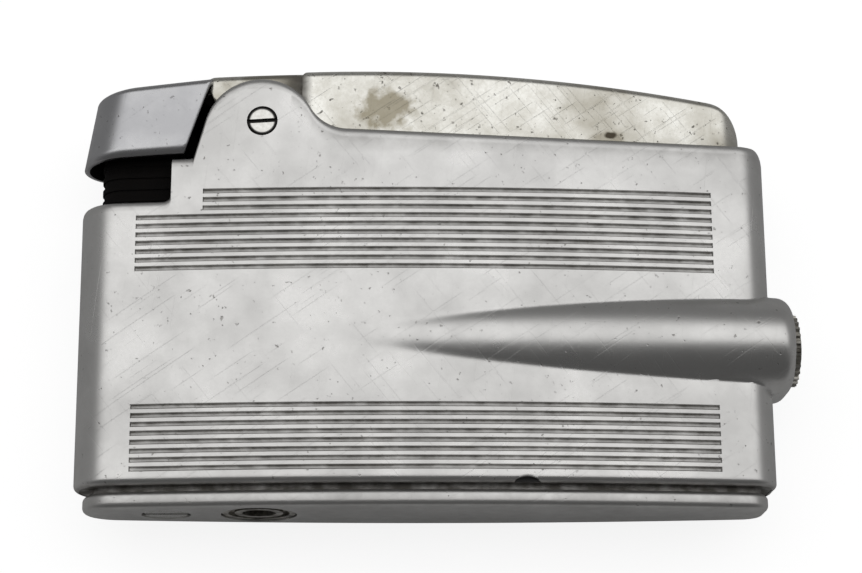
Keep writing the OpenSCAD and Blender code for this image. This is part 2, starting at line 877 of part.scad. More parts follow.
module burner_stem() {
    color("goldenrod")
        difference() {
            union() {
                bar_z(burner_x, burner_chamber_r - 0.1, burner_chamber_low + 0.6, piston_top - 1);
                bar_z(burner_x, stem_r, burner_chamber_low + 0.6, collar_z + 0.8);
                bar_z(burner_x, 1.4, collar_z, collar_z + 0.4);
            }
            bar_z(burner_x, 0.3, piston_top, jet_top);
        }
}

module burner_nozzle() {
    color("gainsboro")
        difference() {
            bar_z(burner_x, stem_r + 0.15, collar_z + 0.8, jet_top);
            bar_z(burner_x, 0.25, collar_z, jet_top + 1);
        }
}

module burner_spring() {
    color("gray")
        difference() {
            bar_z(burner_x, burner_chamber_r - 0.15, piston_top - 1, spring_seat);
            bar_z(burner_x, stem_r + 0.2, 0, far);
        }
}

skirt_inset = wall + skirt_gap;
skirt_x = nose_x + skirt_from_nose;
lever_x = nose_x + lever_end;
strip_x = nose_x + strip_from_nose;

// Height of the lever's top at x: a shallow arch that drops in a round corner at the right end
lever_peak_x = nose_x + lever_peak;
function end_drop(d) = d > 0 ? lever_end_r - sqrt(max(lever_end_r ^ 2 - d ^ 2, 0)) : 0;
function lever_z(x) = overall_h - (x - lever_peak_x) ^ 2 / (2 * lever_arch_r)
    - end_drop(x - lever_x + lever_end_r);

// Half width of the skirt at x, set in by t
function skirt_half(x, t) = x > corner_cx
    ? corner_cy + sqrt(max((corner_r - t) ^ 2 - (x - corner_cx) ^ 2, 0.01))
    : sqrt((face_r - t) ^ 2 - (x - crown_x) ^ 2) - face_off;

// Thin upright slice with round upper corners
module slice(x, half, z0, z1, r) {
    translate([x, 0, 0])
        rotate([90, 0, 90])
            linear_extrude(0.01)
                polygon(concat(
                    [[-half, z0], [half, z0]],
                    arc([half - r, z1 - r], r, 0, 90, 5),
                    [[half - r, z1], [r - half, z1]],
                    arc([r - half, z1 - r], r, 90, 180, 5),
                    [[-half, z1 - r]]));
}

// Skirt of the lever as one smooth arched form, set in by t
module lever_form(x0, x1, t, z0) {
    hull()
        for (i = [0:14]) {
            x = x0 + (x1 - x0) * (1 - (1 - i / 14) ^ 1.6);
            slice(x, skirt_half(x, skirt_inset + t), z0, lever_z(x) - t, max(lever_edge_r - t / 2, 0.3));
        }
}

module cheek() {
    polygon([
        [axle_x - 3.3, lever_z(axle_x) - 1],
        [axle_x - 3.3, axle_z + 1.6],
        [axle_x - 2.2, axle_z - 0.4],
        [axle_x - 4.6, collar_z + 1.15],
        [axle_x - 5.6, collar_z - 0.1],
        [axle_x - 4.2, collar_z - 0.6],
        [axle_x - 1.2, axle_z - 1.8],
        [skirt_x + 1, axle_z - 1.8],
        [skirt_x + 1, lever_z(axle_x) - 1]]);
    translate([axle_x, axle_z])
        circle(r = 1.9, $fn = fine);
}

rib_x = rocker_x + 22.9;
rib_low = rocker_z + 3.5;
strip_wall = 0.6;

module thumb_lever() {
    color("whitesmoke")
        difference() {
            union() {
                difference() {
                    lever_form(skirt_x, lever_x, 0, skirt_low);
                    lever_form(skirt_x + lever_wall, lever_x - lever_wall, lever_wall, skirt_low - 5);
                    translate([skirt_x - 1, -strip_half + cheek_t, skirt_low - 5])
                        cube([3, 2 * (strip_half - cheek_t), lever_z(axle_x) - strip_wall - skirt_low + 5]);
                }
                intersection() {
                    hull()
                        for (x = [strip_x, strip_x + 2, axle_x, skirt_x + 0.3])
                            slice(x, strip_half, axle_z, lever_z(x) - 0.02, lever_edge_r - 0.1);
                    translate([strip_x, -far / 2, lever_z(strip_x) - strip_wall])
                        cube([far, far, far]);
                }
                plate_pair(strip_half - cheek_t, strip_half)
                    cheek();
                translate([rib_x - 0.6, -rocker_y1 - 0.3, rib_low])
                    cube([1.2, 1.4, lever_z(rib_x) - rib_low - lever_wall / 2]);
            }
            bar_y(axle_x, axle_z, axle_r + run_gap, -case_t, case_t);
        }
}

fork_z = collar_z - 0.6;
fork_left = burner_x - 1;

module valve_fork() {
    color("dimgray")
        difference() {
            union() {
                translate([axle_x - 5.6, -strip_half + cheek_t, fork_z])
                    cube([1.4, 2 * (strip_half - cheek_t), 0.5]);
                translate([fork_left, -1.5, fork_z])
                    cube([axle_x - 5 - fork_left, 3, 0.5]);
            }
            translate([fork_left - 1, -stem_r - 0.2, fork_z - 1])
                cube([burner_x + 1.6 - fork_left + 1, 2 * stem_r + 0.4, 3]);
        }
}

spring_x = rib_x + 5;

module lever_spring() {
    z1 = lever_z(spring_x) - 1;
    color("gray")
        translate([spring_x, 0, 0])
            difference() {
                translate([0, 0, tank_top])
                    cylinder(h = z1 - tank_top, r = 1.9, $fn = fine);
                cylinder(h = far, r = 1.3, $fn = fine);
            }
}

crank_a = 185;
crank_r = 3.4;
crank_x = hinge_x + crank_r * cos(crank_a);
crank_z = hinge_z + crank_r * sin(crank_a);
crank_pin_r = 0.35;
tip_z = crank_z - crank_pin_r - 0.15;
pawl_pivot = [axle_x - 4.7, axle_z - 2.6];
pawl_pin_r = 0.3;

module rocker_side() {
    polygon([
        [rib_x + 0.7, rib_low - 0.3],
        [rib_x - 0.7, rib_low - 0.3],
        [rocker_x + 1, rocker_z + 1.1],
        [rocker_x - 1, rocker_z + 1.1],
        [axle_x, rocker_z + 1.9],
        [axle_x - 4.7, rocker_z + 3.6],
        [crank_x - 0.35, tip_z],
        [crank_x - 0.95, tip_z],
        [crank_x - 0.95, tip_z - 0.9],
        [axle_x - 5.2, rocker_z + 1.9],
        [axle_x, rocker_z + 0.5],
        [rocker_x, rocker_z - 1.1],
        [rocker_x + 3, rocker_z - 0.4],
        [rib_x + 0.7, rib_low - 1.4]]);
    translate([rocker_x, rocker_z])
        circle(r = 1.4, $fn = fine);
    translate(pawl_pivot)
        circle(r = 0.7, $fn = fine);
}

module drive_rocker() {
    color("dimgray")
        difference() {
            plate(-rocker_y1, -rocker_y0)
                rocker_side();
            bar_y(rocker_x, rocker_z, rocker_pin_r + run_gap, -case_t, case_t);
            bar_y(pawl_pivot[0], pawl_pivot[1], pawl_pin_r + fix_gap, -case_t, case_t);
        }
}

module pawl_pin() {
    color("gray")
        bar_y(pawl_pivot[0], pawl_pivot[1], pawl_pin_r, -rocker_y1, -ratchet_y0);
}

// The pawl's claw reaches between two teeth; its heel and its shoulder stay outside the teeth
ratchet_root = ratchet_r - tooth_h;
claw_a = 160;
claw_lead = 14.1;
claw_r = ratchet_root + tooth_h / 2;
heel_a = claw_a + 13;
heel_r = ratchet_r + 0.6;
shoulder_back_a = claw_a + 5.1;
shoulder_back_r = ratchet_r + 0.37;

function about_axle(r, a) = [axle_x + r * cos(a), axle_z + r * sin(a)];

module drive_pawl() {
    heel = about_axle(heel_r, heel_a);
    along = (heel - pawl_pivot) / norm(heel - pawl_pivot);
    half = 0.45 * [-along[1], along[0]];
    color("dimgray")
        difference() {
            plate(-ratchet_y1, -ratchet_y0) {
                polygon([
                    pawl_pivot - half,
                    heel,
                    about_axle(claw_r, claw_a),
                    about_axle(shoulder_back_r, shoulder_back_a),
                    heel + half,
                    pawl_pivot + half]);
                translate(pawl_pivot)
                    circle(r = 0.6, $fn = fine);
            }
            bar_y(pawl_pivot[0], pawl_pivot[1], pawl_pin_r + run_gap, -case_t, case_t);
        }
}

module spark_wheel() {
    step = 360 / wheel_teeth;
    color("darkslategray")
        difference() {
            plate(-wheel_w / 2, wheel_w / 2)
                translate([axle_x, axle_z])
                    polygon([for (i = [0:wheel_teeth - 1], c = [[0, 0.25], [0.75, 0]])
                        (wheel_r - c[1]) * [cos((i + c[0]) * step), sin((i + c[0]) * step)]]);
            bar_y(axle_x, axle_z, axle_r + run_gap, -case_t, case_t);
        }
}

module ratchet_wheel() {
    step = 360 / ratchet_teeth;
    color("dimgray")
        difference() {
            plate(-ratchet_y1, -ratchet_y0)
                polygon([for (i = [0:ratchet_teeth - 1], c = [[0, ratchet_r], [1, ratchet_root]])
                    about_axle(c[1], claw_a - claw_lead - (i + c[0]) * step)]);
            bar_y(axle_x, axle_z, axle_r + run_gap, -case_t, case_t);
        }
}

cap_cut_x = nose_x + cap_head + 2;
cap_slope = atan2(cap_right_z - cap_top_z, cap_head - 4.5);

// Plan of the cap, set in by t, moved right by dx and cut off at the right
module cap_plan(t, dx) {
    intersection() {
        translate([dx, 0])
            plan(t);
        translate([nose_x, -far / 2])
            square([cap_cut_x - nose_x, far]);
    }
}

// The cap's outer or inner form: a leaning foot and a rounded sloping top, set in by t
module cap_form(t, z_foot) {
    hull() {
        translate([0, 0, z_foot])
            linear_extrude(0.01)
                cap_plan(t, 0);
        for (i = [0:4]) {
            a = 90 * i / 4;
            translate([nose_x + 4.5, 0, cap_top_z - t - cap_edge_r * (1 - sin(a))])
                rotate([0, -cap_slope, 0])
                    translate([-nose_x - 4.5, 0, 0])
                        linear_extrude(0.01)
                            cap_plan(t + cap_edge_r * (1 - cos(a)), cap_lean + cap_nose_r * (1 - cos(a)) ^ 1.3 / 2);
        }
    }
}

module snuffer_cap() {
    color("silver")
        difference() {
            cap_form(0, cap_low_z - 1);
            cap_form(cap_wall, cap_low_z - 2);
            translate([nose_x, 0, cap_low_z])
                rotate([0, -cap_low_tilt, 0])
                    translate([-far / 2, -far / 2, -far])
                        cube([far, far, far]);
            plate(-far / 2, far / 2)
                polygon([
                    [nose_x + cap_foot, cap_low_z + 0.5],
                    [nose_x + cap_head, cap_right_z],
                    [nose_x + cap_head + 0.2, cap_right_z + 5],
                    [far, cap_right_z + 5],
                    [far, cap_low_z - 5],
                    [nose_x + cap_foot - 0.2, cap_low_z - 5]]);
        }
}

bridge_z = hinge_z - 0.3;

module arm_side() {
    polygon([
        [hinge_x, hinge_z - 0.75],
        [hinge_x, hinge_z + 0.72],
        [hinge_x - 6.2, hinge_z + 0.15],
        [hinge_x - 6.2, hinge_z - 1],
        [hinge_x - 5.2, hinge_z - 1.2]]);
    translate([hinge_x, hinge_z])
        circle(r = 0.75, $fn = fine);
}

module snuffer_arms() {
    color("dimgray")
        difference() {
            union() {
                plate_pair(arm_y0, arm_y1)
                    arm_side();
                translate([hinge_x - 6.2, -arm_y1, bridge_z])
                    cube([1.6, 2 * arm_y1, 0.42]);
                bar_y(crank_x, crank_z, crank_pin_r, -arm_y1 + 0.1, -rocker_y0);
            }
            bar_y(hinge_x, hinge_z, hinge_r + run_gap, -case_t, case_t);
        }
}

module snuffer_spring() {
    color("gray")
        difference() {
            bar_y(hinge_x, hinge_z, hinge_r + 0.35, -1.6, 1.6);
            bar_y(hinge_x, hinge_z, hinge_r + run_gap, -2, 2);
        }
}

body_shell();
base_cap();
fuel_tank();
mechanism_frame();
axle_screw();
axle_nut();
rocker_pin();
snuffer_pin();
wind_guard();
flint_tube();
flint_screw();
flint_spring();
flint_follower();
flint();
filler_body();
filler_seal();
filler_stem();
filler_spring();
metering_body();
metering_pad();
metering_plug();
spindle_seal();
adjuster_spindle();
adjuster_knob();
gas_tube();
burner_body();
burner_seal();
burner_stem();
burner_nozzle();
burner_spring();
thumb_lever();
valve_fork();
lever_spring();
drive_rocker();
pawl_pin();
drive_pawl();
spark_wheel();
ratchet_wheel();
snuffer_cap();
snuffer_arms();
snuffer_spring();
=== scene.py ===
"""Looks of an old flat butane lighter: worn satin plating, works in brass and steel.

It lies on its back on a white sheet, seen from its front and a little from below its base.
Lengths are in millimetres here and turn to metres where a mesh is made.
"""

import json
import math

import bpy
import numpy as np
from mathutils import Matrix, Vector


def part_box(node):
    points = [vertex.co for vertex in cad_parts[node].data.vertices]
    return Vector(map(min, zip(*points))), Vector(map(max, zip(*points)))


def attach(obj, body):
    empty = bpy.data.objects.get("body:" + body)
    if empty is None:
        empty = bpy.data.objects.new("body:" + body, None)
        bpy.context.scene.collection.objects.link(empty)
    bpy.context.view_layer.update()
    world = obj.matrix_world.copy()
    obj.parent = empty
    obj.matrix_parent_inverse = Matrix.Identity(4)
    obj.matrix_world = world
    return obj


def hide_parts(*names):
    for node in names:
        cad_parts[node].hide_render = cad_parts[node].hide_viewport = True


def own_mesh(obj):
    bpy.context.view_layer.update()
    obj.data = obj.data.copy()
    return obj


MM = 0.001

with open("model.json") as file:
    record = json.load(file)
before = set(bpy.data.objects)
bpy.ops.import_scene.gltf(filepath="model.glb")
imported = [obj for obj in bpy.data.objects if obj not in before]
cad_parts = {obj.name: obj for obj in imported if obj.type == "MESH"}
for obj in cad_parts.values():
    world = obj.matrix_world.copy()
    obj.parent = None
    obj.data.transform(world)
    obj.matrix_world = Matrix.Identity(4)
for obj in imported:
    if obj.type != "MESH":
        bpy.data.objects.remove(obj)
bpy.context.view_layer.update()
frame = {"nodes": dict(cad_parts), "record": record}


# ---------------------------------------------------------------- sizes, in mm
def box_mm(node):
    """Lowest and highest corner of a CAD node, in mm."""
    low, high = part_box(node)
    return np.array(low) / MM, np.array(high) / MM


shell_low, shell_high = box_mm("body_shell")
lever_low, lever_high = box_mm("thumb_lever")
screw_low, screw_high = box_mm("axle_screw")
filler_x = sum(box_mm("filler_body"))[0] / 2
flint_x = sum(box_mm("flint_screw"))[0] / 2
foot_z = box_mm("base_cap")[0][2]

nose_x = shell_low[0]
case_low = shell_low[2]
boss_end_x = shell_high[0]
overall_h = lever_high[2]
lever_x = lever_high[0]
strip_x = lever_low[0]

# Plan of the case
case_l = 66.84
case_t = 12.06
face_r = 258.7
crown_x = nose_x + 33.4
corner_r = 3.1
wall = 0.5
right_x = nose_x + case_l
face_off = face_r - case_t / 2
nose_s = face_r + nose_x
nose_cx = (nose_s ** 2 - crown_x ** 2 - face_off ** 2) / (2 * (nose_s - crown_x))
nose_r = nose_cx - nose_x
corner_cx = right_x - corner_r
corner_cy = math.sqrt((face_r - corner_r) ** 2 - (corner_cx - crown_x) ** 2) - face_off
nose_a = math.atan2(face_off, nose_cx - crown_x)
corner_a = math.atan2(corner_cy + face_off, corner_cx - crown_x)
face_x0 = crown_x + face_r * math.cos(nose_a)
face_x1 = crown_x + face_r * math.cos(corner_a)

# Front outline of the case
ear_r = 5.5
axle_x = (screw_low[0] + screw_high[0]) / 2
axle_z = (screw_low[2] + screw_high[2]) / 2
rim_z = axle_z - 1.8
rim_rise = 1.05
ledge_z = axle_z - 3.65
notch_z = axle_z - 7.95
notch_x = nose_x + 8.9
notch_r = 0.8
rim_r = 1.2
ear_x = axle_x - 0.2
ear_z = axle_z - 1.08
ear_foot = 6.45
shoulder_r = 4.2
shoulder_z = rim_z + rim_rise + shoulder_r
shoulder_x = ear_x + math.sqrt((ear_r + shoulder_r) ** 2 - (shoulder_z - ear_z) ** 2)
shoulder_a = math.atan2(shoulder_z - ear_z, shoulder_x - ear_x)
flank_a = (math.atan2(ear_z - ledge_z, ear_foot)
           + math.asin(ear_r / math.hypot(ear_foot, ear_z - ledge_z)))
flank_top = ear_x - ear_r * math.sin(flank_a)

# Grooves
groove_pitch = 0.849
groove_zs = np.concatenate([3.5 + groove_pitch * np.arange(8),
                            rim_z - 12.92 + groove_pitch * np.arange(10)])
groove_short = 3
groove_d = 0.2
groove_edge = 0.25
groove_floor = 0.12
groove_x0 = nose_x + 5.6
groove_short_x0 = nose_x + 12.0
groove_x1 = right_x - 5.7

# Torpedo boss
boss_z = 16.1
boss_r = 5.55
boss_off = 1.07
boss_x = nose_x + 47.5
boss_curve_r = 300.0
boss_end_r = 1.5
boss_blend = 0.12

# Edges that a hand has worn, and the pry notch in the case's foot
rim_round = 0.42
rim_drop = 0.8
foot_round = 0.55
pry_x = 7.7
pry_half = 1.35
pry_h = 0.5

# Hole round the axle's head, and the steps of rows and columns across its edge
screw_hole_r = 1.5
screw_hole_deep = 0.44
hole_steps = np.array([0, .35, .7, 1.05, 1.3, 1.42, 1.5, 1.58, 1.75, 2.0, 2.25])
hole_steps = np.unique(np.concatenate([-hole_steps, hole_steps]))
hole_reach = hole_steps[-1]

# Base plate
base_inset = 0.9
bead_h = 1.6
bead_r = 0.55
neck_inset = 1.5
plug_inset = wall + 0.04
plug_foot = case_low + 0.05
plug_z = 3.28
filler_well_r = 3.6
flint_well_r = 2.32
well_low = -1
well_high = 4

# Lever
skirt_inset = 0.65
skirt_x = nose_x + 21.43
skirt_low = rim_z - 1.85
lever_peak_x = nose_x + 27.0
lever_arch_r = 234.0
lever_drop_r = 3.2
lever_edge_r = 0.8
lever_corner_r = 2.6
lever_wall = 0.45
strip_half = 4.5
strip_corner_r = 0.95
strip_end_half = 2.2
strip_straight_x = strip_x + 1.3
strip_tip_depth = 1.9
strip_more_depth = 1.3
cheek_near = 4.12
cheek_far = 4.42
cheek_below_top = 0.7
eye_r = 1.9

# Soot lies to the left of the first x, full at the second, and above the tank's top
soot_x = -18.6, -20.4
soot_z = 27, 29

# Snuffer cap
cap_foot_z = notch_z + 4.4
cap_right_z = overall_h - 0.8
cap_top_z = cap_right_z - 0.7
cap_tilt = math.tan(math.radians(2.6))
cap_lean = 1.05
cap_edge_r = 0.8
cap_nose_back = 1.0
cap_slope_x = nose_x + 4.5
cap_cut_low = np.array([nose_x + 10.0, cap_foot_z + 0.5])
cap_cut_high = np.array([nose_x + 12.65, cap_right_z])


# ---------------------------------------------------------------- meshes
def smooth_max(a, b, k):
    """The larger of a and b, with the crease between them rounded over a width k."""
    h = np.clip(k - np.abs(a - b), 0, None) / k
    return np.maximum(a, b) + h * h * k / 4


def ramp(x, low, high):
    """0 below low, 1 above high, and an S-shaped rise between."""
    t = np.clip((x - low) / (high - low), 0, 1)
    return t * t * (3 - 2 * t)


def half_chord(r, d):
    """Half the chord of a circle of radius r at a distance d from its centre, 0 outside."""
    return np.sqrt(np.clip(r ** 2 - d ** 2, 0, None))


def sheet_piece(name, grid, body, close_rows=False, close_columns=False, dirt_and_shade=None,
                sharp=35.0):
    """Makes a piece from a grid of points (rows x columns x 3, in mm).

    Each cell is a quad. Points that fall together are made one, and a quad that collapses
    becomes a triangle or goes. Faces are turned outwards by the sign of the volume.
    """
    rows, columns = grid.shape[:2]
    points = grid.reshape(-1, 3)
    _, first, same = np.unique(np.round(points, 4), axis=0, return_index=True,
                               return_inverse=True)
    same = same.reshape(-1)
    r = np.arange(rows if close_rows else rows - 1)
    c = np.arange(columns if close_columns else columns - 1)
    r0, c0 = (a.ravel() for a in np.meshgrid(r, c, indexing="ij"))
    r1, c1 = (r0 + 1) % rows, (c0 + 1) % columns
    quads = same[np.stack([r0 * columns + c0, r0 * columns + c1,
                           r1 * columns + c1, r1 * columns + c0], 1)]
    same_next = quads == np.roll(quads, -1, axis=1)
    corners = 4 - same_next.sum(1)
    opposite = (quads[:, 0] == quads[:, 2]) | (quads[:, 1] == quads[:, 3])
    whole = quads[(corners == 4) & ~opposite]
    part = quads[(corners == 3) & ~opposite]
    part = part[~same_next[(corners == 3) & ~opposite]].reshape(-1, 3)
    places = points[first]
    tri = np.concatenate([whole[:, [0, 1, 2]], whole[:, [0, 2, 3]], part])
    a, b, d = (places[tri[:, i]] for i in range(3))
    if np.einsum("ij,ij->i", a, np.cross(b, d)).sum() < 0:
        whole, part = whole[:, ::-1], part[:, ::-1]
    mesh = bpy.data.meshes.new(name)
    mesh.from_pydata((places * MM).tolist(), [], whole.tolist() + part.tolist())
    mesh.polygons.foreach_set("use_smooth", np.ones(len(mesh.polygons), bool))
    if dirt_and_shade is not None:
        layer = mesh.attributes.new("dirt_and_shade", "FLOAT", "POINT")
        layer.data.foreach_set("value", dirt_and_shade.reshape(-1)[first].astype(np.float32))
    mesh.set_sharp_from_angle(angle=math.radians(sharp))
    piece = bpy.data.objects.new(name, mesh)
    bpy.context.scene.collection.objects.link(piece)
    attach(piece, body)
    return piece


def wall_inwards(piece, thickness):
    """Gives an open skin its wall, inwards, with the second finish on the inner side."""
    solid = piece.modifiers.new("wall", "SOLIDIFY")
    solid.thickness = thickness * MM
    solid.offset = -1
    solid.use_even_offset = False
    solid.material_offset = 1
    return piece


def mirrored(half, open_strip=False):
    """Joins the front half of each row to its mirror image behind the middle line.

    Points change the sign of their depth and single values stay. A closed loop holds the
    whole half twice. An open strip begins on the middle line, which it holds once.
    """
    back = (half[:, :0:-1] if open_strip else half[:, ::-1]).copy()
    if half.ndim == 3:
        back[..., 1] *= -1
    return np.concatenate([back, half] if open_strip else [half, back], 1)


def plate_piece(name, outline, near, far, body, lying=False):
    """A flat plate: an outline between two depths, its faces as fans about the middle.

    The outline is in x and z between two depths, or in x and y between two heights if lying.
    """
    ring = np.asarray(outline, float)
    fan = np.tile(ring.mean(0), (len(ring), 1))
    grid = np.stack([np.column_stack([loop, np.full(len(ring), depth)])
                     for loop, depth in zip((fan, ring, ring, fan), (near, near, far, far))])
    return sheet_piece(name, grid if lying else grid[..., [0, 2, 1]], body,
                       close_columns=True)


def turned_piece(name, profile, centre_x, body, around, turn=0.0):
    """A turned piece: a profile of radius and height spun about an upright line."""
    a = np.linspace(0, 2 * math.pi, around, endpoint=False) + turn
    r, h = profile[:, :1], profile[:, 1:]
    grid = np.stack([centre_x + r * np.cos(a), r * np.sin(a),
                     np.broadcast_to(h, (len(profile), around))], -1)
    return sheet_piece(name, grid, body, close_columns=True)


def cut_out(piece, cutter):
    """Takes the cutter's shape out of a piece."""
    cut = piece.modifiers.new("cut", "BOOLEAN")
    cut.operation, cut.solver, cut.object = "DIFFERENCE", "EXACT", cutter
    bpy.context.view_layer.update()
    piece.data = bpy.data.meshes.new_from_object(
        piece.evaluated_get(bpy.context.evaluated_depsgraph_get()))
    piece.modifiers.clear()
    bpy.data.objects.remove(cutter)
    piece.data.set_sharp_from_angle(angle=math.radians(35))


# ---------------------------------------------------------------- case
def case_top(x):
    """Height of the case's upper edge at x: notch, ledge, flank, ear, hollow shoulder, rim."""
    rim_end_x = right_x - rim_r
    z = rim_z + rim_rise * np.clip((rim_end_x - x) / (rim_end_x - shoulder_x), 0, 1) ** 2
    z = np.where(x > rim_end_x, rim_z - rim_r + half_chord(rim_r, x - right_x + rim_r), z)
    z = np.where(x < shoulder_x, shoulder_z - half_chord(shoulder_r, x - shoulder_x), z)
    ear_end = ear_x + ear_r * math.cos(shoulder_a)
    z = np.where(x < ear_end, ear_z + half_chord(ear_r, x - ear_x), z)
    z = np.where(x < flank_top, ledge_z + (x - ear_x + ear_foot) * math.tan(flank_a), z)
    z = np.where(x < ear_x - ear_foot, ledge_z, z)
    fillet = notch_z + notch_r - half_chord(notch_r, x - notch_x + notch_r)
    return np.where(x < notch_x, np.where(x > notch_x - notch_r, fillet, notch_z), z)


def boss_at(x, t):
    """Radius of the boss at x, set in by t: a shallow lengthwise arc with a rounded end."""
    end_x, end_r = boss_end_x - t, boss_end_r - t
    reach = np.clip((x - end_x + end_r) / end_r, 0, 1)
    flat = boss_r - t - (np.minimum(x, end_x - end_r) - boss_x) ** 2 / (2 * boss_curve_r)
    return flat - end_r * (1 - np.sqrt(1 - reach ** 2))


def boss_half(x, z, t):
    """Half width of the boss at x and z: the flat band plus a circle's half chord."""
    r = boss_at(x, t)
    inside = (np.abs(z - boss_z) < r) & (x <= boss_end_x - t)
    outside = -9
    return np.where(inside, boss_off + half_chord(r, z - boss_z), outside)


def ray_reach(inside, low, high):
    """Distance along each ray where `inside` stops being true, by halving."""
    for _ in range(26):
        middle = (low + high) / 2
        good = inside(middle)
        low, high = np.where(good, middle, low), np.where(good, high, middle)
    return low


def case_half(zs, t, boss_t, rays):
    """Front half of the case's skin, set in by t, from the nose to the middle of the end.

    Nose columns lie on a circle, face columns on the shallow face arc, and the last columns
    are rays from a point inside the right end. The boss joins the plan by the larger depth.
    """
    theta, face_a, ray_a = rays
    z = np.broadcast_to(zs, t.shape)
    n, f = len(theta), len(face_a)
    nose = nose_r - t[:, :n]
    nose_xy = nose_cx + nose * np.cos(theta), nose * np.sin(theta)
    face = face_r - t[:, n:n + f]
    fx = crown_x + face * np.sin(face_a)
    fy = smooth_max(face * np.cos(face_a) - face_off,
                    boss_half(fx, z[:, n:n + f], boss_t), boss_blend)
    ray_z = z[:, n + f:]
    dx, dy = np.cos(ray_a), np.sin(ray_a)

    def in_plan(d):
        x, y = face_x1 + d * dx, d * dy
        return (x <= right_x) & (y <= corner_cy + half_chord(corner_r, x - corner_cx))

    def in_boss(d):
        return d * dy <= boss_half(face_x1 + d * dx, ray_z, boss_t)

    nearest = np.zeros(ray_z.shape)
    farthest = nearest + 9
    reach = smooth_max(ray_reach(in_plan, nearest, farthest) - t[:, n + f:],
                       ray_reach(in_boss, nearest, farthest), boss_blend)
    x = np.concatenate([nose_xy[0], fx, face_x1 + reach * dx], 1)
    y = np.concatenate([nose_xy[1], fy, reach * dy], 1)
    return x, -y


def case_columns():
    """Columns of the case: nose angles, face angles and end rays, and each column's x.

    Face columns lie close where the upper edge bends, at the ends of the grooves, across the
    axle's hole, down the hollow shoulder and over the pry notch.
    """
    theta = np.linspace(math.pi, nose_a, 13)[:-1]
    groove_end = np.array([-.12, -.04, .04, .12])
    stations = np.concatenate([
        np.linspace(face_x0, groove_x0 - 0.4, 4), groove_x0 + groove_end,
        np.linspace(groove_x0 + 0.6, notch_x - notch_r - 0.1, 4),
        notch_x - notch_r * np.array([0.85, 0.6, 0.4, 0.2, 0.08]),
        notch_x + np.array([-.002, .002]), np.arange(notch_x + 0.4, -24.3, 0.45),
        np.linspace(ear_x - ear_foot, flank_top, 8), ear_x - ear_foot + np.array([-.01, .01]),
        groove_short_x0 + groove_end,
        ear_x - ear_r * np.cos(np.radians(np.arange(20, 62, 4))),
        axle_x + hole_steps, np.arange(-14.9, -8.9, 0.2),
        np.arange(-8.6, 5.0, 0.7), np.arange(5.0, 6.2, 0.7),
        np.linspace(pry_x - pry_half, pry_x + pry_half, 19), np.arange(9.8, 25.4, 0.9),
        groove_x1 + groove_end, np.linspace(26.9, face_x1, 4)])
    stations = np.unique(np.round(stations, 4))
    face_a = np.arcsin((stations - crown_x) / face_r)
    ray_a = np.linspace(math.pi / 2, 0, 19)[1:]
    column_x = np.concatenate([nose_cx + nose_r * np.cos(theta), stations,
                               np.full(len(ray_a), right_x - 2.0)])
    return (theta, face_a, ray_a), column_x


def case_rows():
    """Heights of the skin's rows: round the foot, over each groove, the boss and the hole."""
    foot_rows = 1 - np.cos(np.linspace(0, math.pi / 2, 6))
    groove_rows = (groove_zs[:, None]
                   + np.array([-groove_edge, -groove_floor, 0, groove_floor, groove_edge])).ravel()
    boss_rows = boss_z + np.concatenate([np.arange(-5.9, -4.1, .12), np.arange(-4.1, 4.1, .17),
                                         np.arange(4.1, 5.95, .12)])
    return np.unique(np.round(np.concatenate([
        case_low + foot_round * foot_rows, [2.85], groove_rows, [9.95], boss_rows, [22.35],
        [31.4, 32.3, 33.2, 34.3], axle_z + hole_steps, [40.3, 40.6, 40.9]]), 4))[:, None]


def groove_cut(zs, column_x):
    """How far the grooves are cut, 0 to 1, and how dark they are: grime they hold with painted
    shade, more in the upper half.
    """
    def after(x):
        return ramp(column_x, x - .05, x + .05)

    mask_end = 1 - after(groove_x1)
    cut, grime_and_shade = np.zeros((2, len(zs), len(column_x)))
    for i, groove_z in enumerate(groove_zs):
        short = i >= len(groove_zs) - groove_short
        mask = after(groove_short_x0 if short else groove_x0)
        across = 1 - ramp(np.abs(zs - groove_z), groove_floor, groove_edge - 0.005)
        cut = np.maximum(cut, across * mask * mask_end)
        # Painted shade: each groove's upper half is darker, as if shaded by its upper wall
        grime_and_shade = np.maximum(grime_and_shade, across * mask * mask_end
                           * (0.32 + 0.6 * ramp(zs - groove_z, -0.08, 0.14)))
    return cut, grime_and_shade


